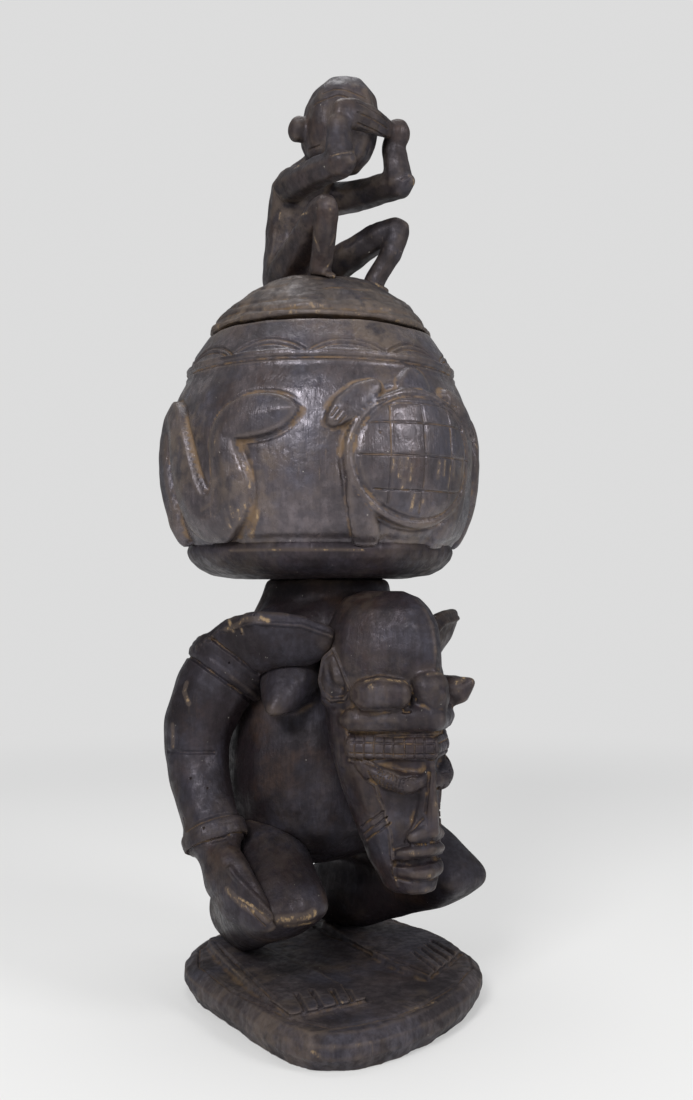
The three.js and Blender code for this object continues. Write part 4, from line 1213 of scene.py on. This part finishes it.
bowl_worn = wall_marks(serpent_keel, 2.2, 0.8) + wall_marks(serpent_flakes, 1.9, 1.3, 1.0)
bowl_worn += wall_marks(serpent_chips, 2.1, 1.2)
bowl_worn += wall_marks(shell_chips, 2.1, 1.15, SHELL_LIFT) + wall_marks(shell_edge, 1.8, 0.8)
bowl_dusty = wall_marks(serpent_edge, 3.4, 1.1, 1.0)

FOOT_JOIN = (FOOT_TOP - 4.5, FOOT_TOP + 3.5)
foot_worn = wall_marks([[(-74, 297.2), (-45, 297.5), (-18, 297.2)]], 1.8, 0.9, 0)


def carve_bowl_foot():
    block = spun("carved_bowl_foot", foot_outline(), FOOT_STEPS)
    uneven(block, 22, 0.9)
    keep_within(block, "bowl")
    return block


# Lid: spun, roughly ridged, with the spigot under it

lid_wall = [
    (0.985, 0.05), (1, 0.07), (1, 0.13), (0.965, 0.16), (0.945, 0.26), (0.9, 0.37), (0.83, 0.52),
    (0.745, 0.66), (0.65, 0.79), (0.52, 0.93), (0.36, 0.99), (0.02, 0.998),
]
lid_hollow = [(0.3, 0.44), (0.5, 0.34), (0.62, 0.14), (0.675, 0)]
RIM_LIFT = 2.0
LID_STEPS = 300
LID_ROW = 1.1

# Ridges round the dome: shares of radius and height, depth, and the angles they run between

lid_ridges = [(0.955, 0.2, 1.0, 0, 360), (0.89, 0.4, 0.8, -110, 60), (0.8, 0.58, 1.0, -40, 170)]
lid_ridges += [(0.7, 0.72, 0.7, 150, 300), (0.87, 0.45, 0.9, 120, 250), (0.6, 0.84, 0.8, -90, 40)]


def lid_places(shares):
    return [(r * LID_RADIUS, LID_FLOOR + h * LID_HEIGHT) for r, h in shares]


def lid_outline():
    low = LID_FLOOR - SPIGOT_DEPTH
    hollow = lid_places(lid_hollow)
    mouth = hollow[-1][0]
    outline = [(0, LID_FLOOR + 0.47 * LID_HEIGHT), *hollow, (mouth, low), (SPIGOT_RADIUS - 1, low)]
    outline += [(SPIGOT_RADIUS, low + 1), (SPIGOT_RADIUS, LID_FLOOR)]
    outline += [(SPIGOT_RADIUS + 6, LID_FLOOR), (LID_RADIUS - 2, LID_FLOOR + RIM_LIFT)]
    return outline + eased(lid_places(lid_wall), LID_ROW, 2) + [(0, LID_FLOOR + LID_HEIGHT)]


def lid_strokes():
    strokes = []
    for number, (share, height, depth, start, end) in enumerate(lid_ridges):
        ring = []
        for part in np.linspace(math.radians(start), math.radians(end), 73):
            sway = 1.8 * math.sin(3 * part + number) + 0.9 * math.sin(7 * part + 2 * number)
            radius = share * LID_RADIUS - 0.3 * sway
            place = (radius * math.sin(part), BOWL_AXIS - radius * math.cos(part))
            ring.append((*place, LID_FLOOR + height * LID_HEIGHT + sway))
        strokes.append((ring, 2.6, depth))
    return strokes


lid_worn = [
    ([(-66, -10, 455), (-57, -23, 456), (-48, -33, 455), (-40, -40, 454.5)], 3.4, 0.9),
    ([(-34, -43, 454.5), (-19, -48.6, 454), (4, -50, 457), (30, -45, 456)], 3.4, 0.9),
    ([(-10, -53, 449), (10, -54, 449)], 2.4, 1.1),
    ([(-34, -31, 468), (-16, -37, 469), (0, -37, 472)], 1.8, 0.9),
]


def carve_lid():
    block = spun("carved_lid", lid_outline(), LID_STEPS // (1))
    carve(block, lid_strokes(), finer=False)
    under = points_of(block)[:, 2] / MM < LID_FLOOR + 0.5 * RIM_LIFT
    uneven(block, 20, 1.6, under)
    uneven(block, 6, 0.5, under)
    keep_within(block, "lid")
    return block


# Seated figure on the lid

seated_fingers = [
    [(-9.4, -33.8, 596), (7, -32.1, 594), (20, -29, 592)],
    [(-9.9, -34.5, 589.5), (7, -32.3, 588.6), (20, -29, 587.5)],
    [(-8.4, -32.5, 583.5), (5.6, -30.7, 583), (20, -26, 583)],
]
seated_hair = [
    [(-20.8, -1, 602.4), (-17.4, -9.2, 605), (-12.7, -15.5, 606.4), (-8, -21, 604.5), (6, -25, 601)],
    [(-17.7, -6.2, 609.7), (-13.1, -12.6, 611.4), (-8.8, -19.4, 610), (5, -23.7, 606)],
]
seated_creases = [
    [(-30, -32.9, 556.4), (-26, -37.4, 557.2), (-20.6, -41.3, 558)],
    [(31.7, -30.4, 553.8), (36.3, -33.4, 556.7)],
    [(-17.3, 10.2, 576.2), (-16.8, -1.2, 575.6)],
]
seated_worn = [
    ([(-30.8, 8, 559.6), (-30, 4, 560)], 1.5, 1.3),
    ([(-29.3, -34.2, 555.5), (-22, -39, 556.5), (-15, -38, 561)], 1.3, 1.2),
    ([(-14.4, -37.2, 560), (-12, -37, 569)], 1.2, 1.1),
    ([(36, -32.7, 557), (41, -35, 551)], 1.8, 1.2),
    ([(-30.5, -31, 525), (-26, -33, 524)], 1.4, 1.2),
    ([(-34.9, -14, 523), (-33, -4, 523)], 1.1, 1.4),
    ([(-30.7, -19.3, 506), (-30.7, -19.3, 497)], 1.2, 1.2),
    ([(-24.3, -23.5, 508), (-24.3, -23.5, 501)], 1.2, 1.1),
    ([(-21.7, 40, 539), (-22, 41, 535)], 1.3, 1.3),
    ([(-22.9, 45, 528), (-23, 48, 505)], 1.6, 0.8),
    ([(-19, -17.4, 493), (-23, -15, 486)], 1.6, 1.0),
]


def carve_seated():
    block = hewn("carved_seated_figure", "lid_figure", (), (1.4, 12), (0.86, 1), 1.0)
    uneven(block, 9, 0.6)
    strokes = [(line, 1.1, 1.0) for line in seated_fingers + seated_hair]
    strokes += [(line, 1.5, 0.8) for line in seated_creases]
    carve(block, strokes)
    keep_within(block, "lid_figure")
    return block


# Camera, light and floor


def set_camera():
    bpy.ops.object.camera_add(location=CAMERA_PLACE, rotation=CAMERA_TURN)
    camera = bpy.context.object
    camera.data.lens = CAMERA_LENS
    camera.data.sensor_width = SENSOR_WIDTH
    bpy.context.scene.camera = camera


def set_lamp(name, direction, distance, size, power):
    """A square lamp that shines at the middle of the container."""
    aim = Vector((0, 0, 0.3))
    toward = Vector(direction).normalized()
    bpy.ops.object.light_add(type="AREA", location=aim + toward * distance)
    lamp = bpy.context.object
    lamp.name = name
    lamp.rotation_euler = toward.to_track_quat("Z", "Y").to_euler()
    lamp.data.size = size
    lamp.data.energy = power


PAPER = (0.72, 0.72, 0.72)
SKY = (0.95, 0.97, 1)
SKY_STRENGTH = 0.32
FLOOR = (0.92, 0.915, 0.9)
FLOOR_ROUGHNESS = 0.9
FLOOR_RADIUS = 4
FLOOR_FALL = 0.0002
FLOOR_PAPER = 0.5
PAPER_BEGINS, PAPER_FULL = 0.3, 1.5


def lay_paper(tree, kind, shader, output, share):
    """Lays the paper's colour over a shader, for the camera's eye alone."""
    paper = add(tree, kind, in_0=(*PAPER, 1), in_1=1.0)
    path = add(tree, "LightPath")
    mix = add(tree, "MixShader")
    feed(tree, times(tree, path.outputs["Is Camera Ray"], share), mix.inputs[0])
    feed(tree, shader.outputs[0], mix.inputs[1])
    feed(tree, paper.outputs[0], mix.inputs[2])
    feed(tree, mix.outputs[0], tree.nodes[output].inputs["Surface"])


def set_studio():
    set_lamp("lamp_left", (-0.73, -0.5, 0.5), distance=1.7, size=0.5, power=21)
    set_lamp("lamp_right", (0.3, -0.9, 0.42), distance=1.8, size=0.6, power=14)
    set_lamp("lamp_high", (0.1, 0.2, 1), distance=1.7, size=0.9, power=11)
    world = bpy.data.worlds.new("studio")
    bpy.context.scene.world = world
    world.use_nodes = True
    sky = world.node_tree.nodes["Background"]
    sky.inputs["Color"].default_value = (*SKY, 1)
    sky.inputs["Strength"].default_value = SKY_STRENGTH
    lay_paper(world.node_tree, "Background", sky, "World Output", 1.0)


def set_floor():
    """A pale floor that runs out into the paper behind, so that no edge shows."""
    deselect()
    place = (0, 0, -FLOOR_FALL)
    bpy.ops.mesh.primitive_circle_add(
        vertices=96, radius=FLOOR_RADIUS, fill_type="NGON", location=place
    )
    floor = bpy.context.object
    floor.name = "floor"
    material = bpy.data.materials.new("pale_paper")
    material.use_nodes = True
    tree = material.node_tree
    shader = tree.nodes["Principled BSDF"]
    shader.inputs["Base Color"].default_value = (*FLOOR, 1)
    shader.inputs["Roughness"].default_value = FLOOR_ROUGHNESS
    away = add(tree, "VectorMath", operation="LENGTH")
    feed(tree, add(tree, "TexCoord").outputs["Object"], away.inputs[0])
    far = ramp(tree, away.outputs["Value"], PAPER_BEGINS, PAPER_FULL)
    share = arithmetic(tree, "MAXIMUM", far, FLOOR_PAPER)
    lay_paper(tree, "Emission", shader, "Material Output", share)
    floor.data.materials.append(material)


# Putting it together

set_camera()
set_studio()
set_floor()

# Painted light: the body colours are the same wood painted lighter where light falls on it, on the
# bowl, the head, the lid and the base, than on the bearer.
BEARER_BROWN = (0.0155, 0.0108, 0.0125)
HEAD_BROWN_PAINTED_LIT = (0.025, 0.018, 0.021)

base_wood = aged_wood(
    "base_wood", (0.064, 0.053, 0.055), sheen=0.28, rough=0.48, warm=0.25, cool_sheen=0.5, film=0.5,
    dust=0.35, chip=0.6, scuff=0.5, blade=0.5,
)
bearer_wood = aged_wood(
    "bearer_wood", BEARER_BROWN, sheen=0.25, rough=0.35, warm=0.6, cool_sheen=0.36, film=0.17,
    dust=0.7, chip=0.8, scuff=0.2, blade=0.3,
)
head_wood = aged_wood(
    "head_wood", HEAD_BROWN_PAINTED_LIT, sheen=0.3, rough=0.34, warm=0.4, cool_sheen=0.5, film=0.25,
    dust=0.85, chip=0.85, scuff=0.3, blade=0.25,
)
bowl_wood = aged_wood(
    "bowl_wood", (0.078, 0.064, 0.066), sheen=0.62, rough=0.19, warm=0.45, cool_sheen=0.68, film=0.65,
    dust=0.75, chip=0.95, scuff=0.7, blade=0.42,
)
# Painted shade: the bowl's foot, under the flange, gets the bowl's wood made darker.
foot_wood_painted_shade = aged_wood(
    "foot_wood_painted_shade", (0.025, 0.018, 0.022), sheen=0.26, rough=0.36, warm=0.3, cool_sheen=0.3, film=0.25,
    dust=0.6, chip=0.8, scuff=0.3, blade=0.3,
)
lid_wood = aged_wood(
    "lid_wood", (0.08, 0.065, 0.056), sheen=0.42, rough=0.36, warm=0.45, cool_sheen=0.3, film=0.9,
    dust=0.5, chip=0.7, scuff=1.0, blade=0.9, facet_size=60.0,
)
figure_wood = aged_wood(
    "figure_wood", (0.036, 0.028, 0.028), sheen=0.33, rough=0.36, warm=0.5, cool_sheen=0.42, film=0.5,
    dust=0.6, chip=0.9, scuff=0.7, blade=0.5,
)

finish(carve_base(), "vessel", "base_wood", base_wood, "base", worn=base_worn)
right_leg = carve_limb("carved_right_leg", "bearer_right_leg", 2.6, 26, into=["base"])
finish(right_leg, "vessel", "bearer_wood", bearer_wood, "bearer_right_leg", worn=knee_worn)
left_leg = carve_limb("carved_left_leg", "bearer_left_leg", 2.6, 26, into=["base"])
finish(left_leg, "vessel", "bearer_wood", bearer_wood, "bearer_left_leg")
torso = carve_limb("carved_torso", "bearer_torso", 2.4, 16, 1.15, on_both(nape_wood), ["bowl"])
finish(torso, "vessel", "bearer_wood", bearer_wood, "bearer_torso")
finish(carve_right_arm(), "vessel", "bearer_wood", bearer_wood, "bearer_right_arm", worn=arm_worn)
finish(carve_left_arm(), "vessel", "bearer_wood", bearer_wood, "bearer_left_arm")
marks = {"worn": head_worn, "dusty": head_dusty}
finish(carve_head(), "vessel", "bearer_wood", head_wood, "bearer_head", **marks)
marks = {"worn": bowl_worn, "dusty": bowl_dusty, "edges": 0.7, "joins": [FOOT_JOIN]}
finish(carve_bowl(), "vessel", "bowl_wood", bowl_wood, "bowl", **marks)
marks = {"worn": foot_worn, "edges": 0.3, "joins": [FOOT_JOIN]}
finish(carve_bowl_foot(), "vessel", "bowl_wood", foot_wood_painted_shade, "bowl", **marks)
finish(carve_lid(), "cover", "lid_wood", lid_wood, "lid", worn=lid_worn)
finish(carve_seated(), "cover", "figure_wood", figure_wood, "lid_figure", worn=seated_worn)

bpy.context.scene.view_settings.view_transform = "Standard"
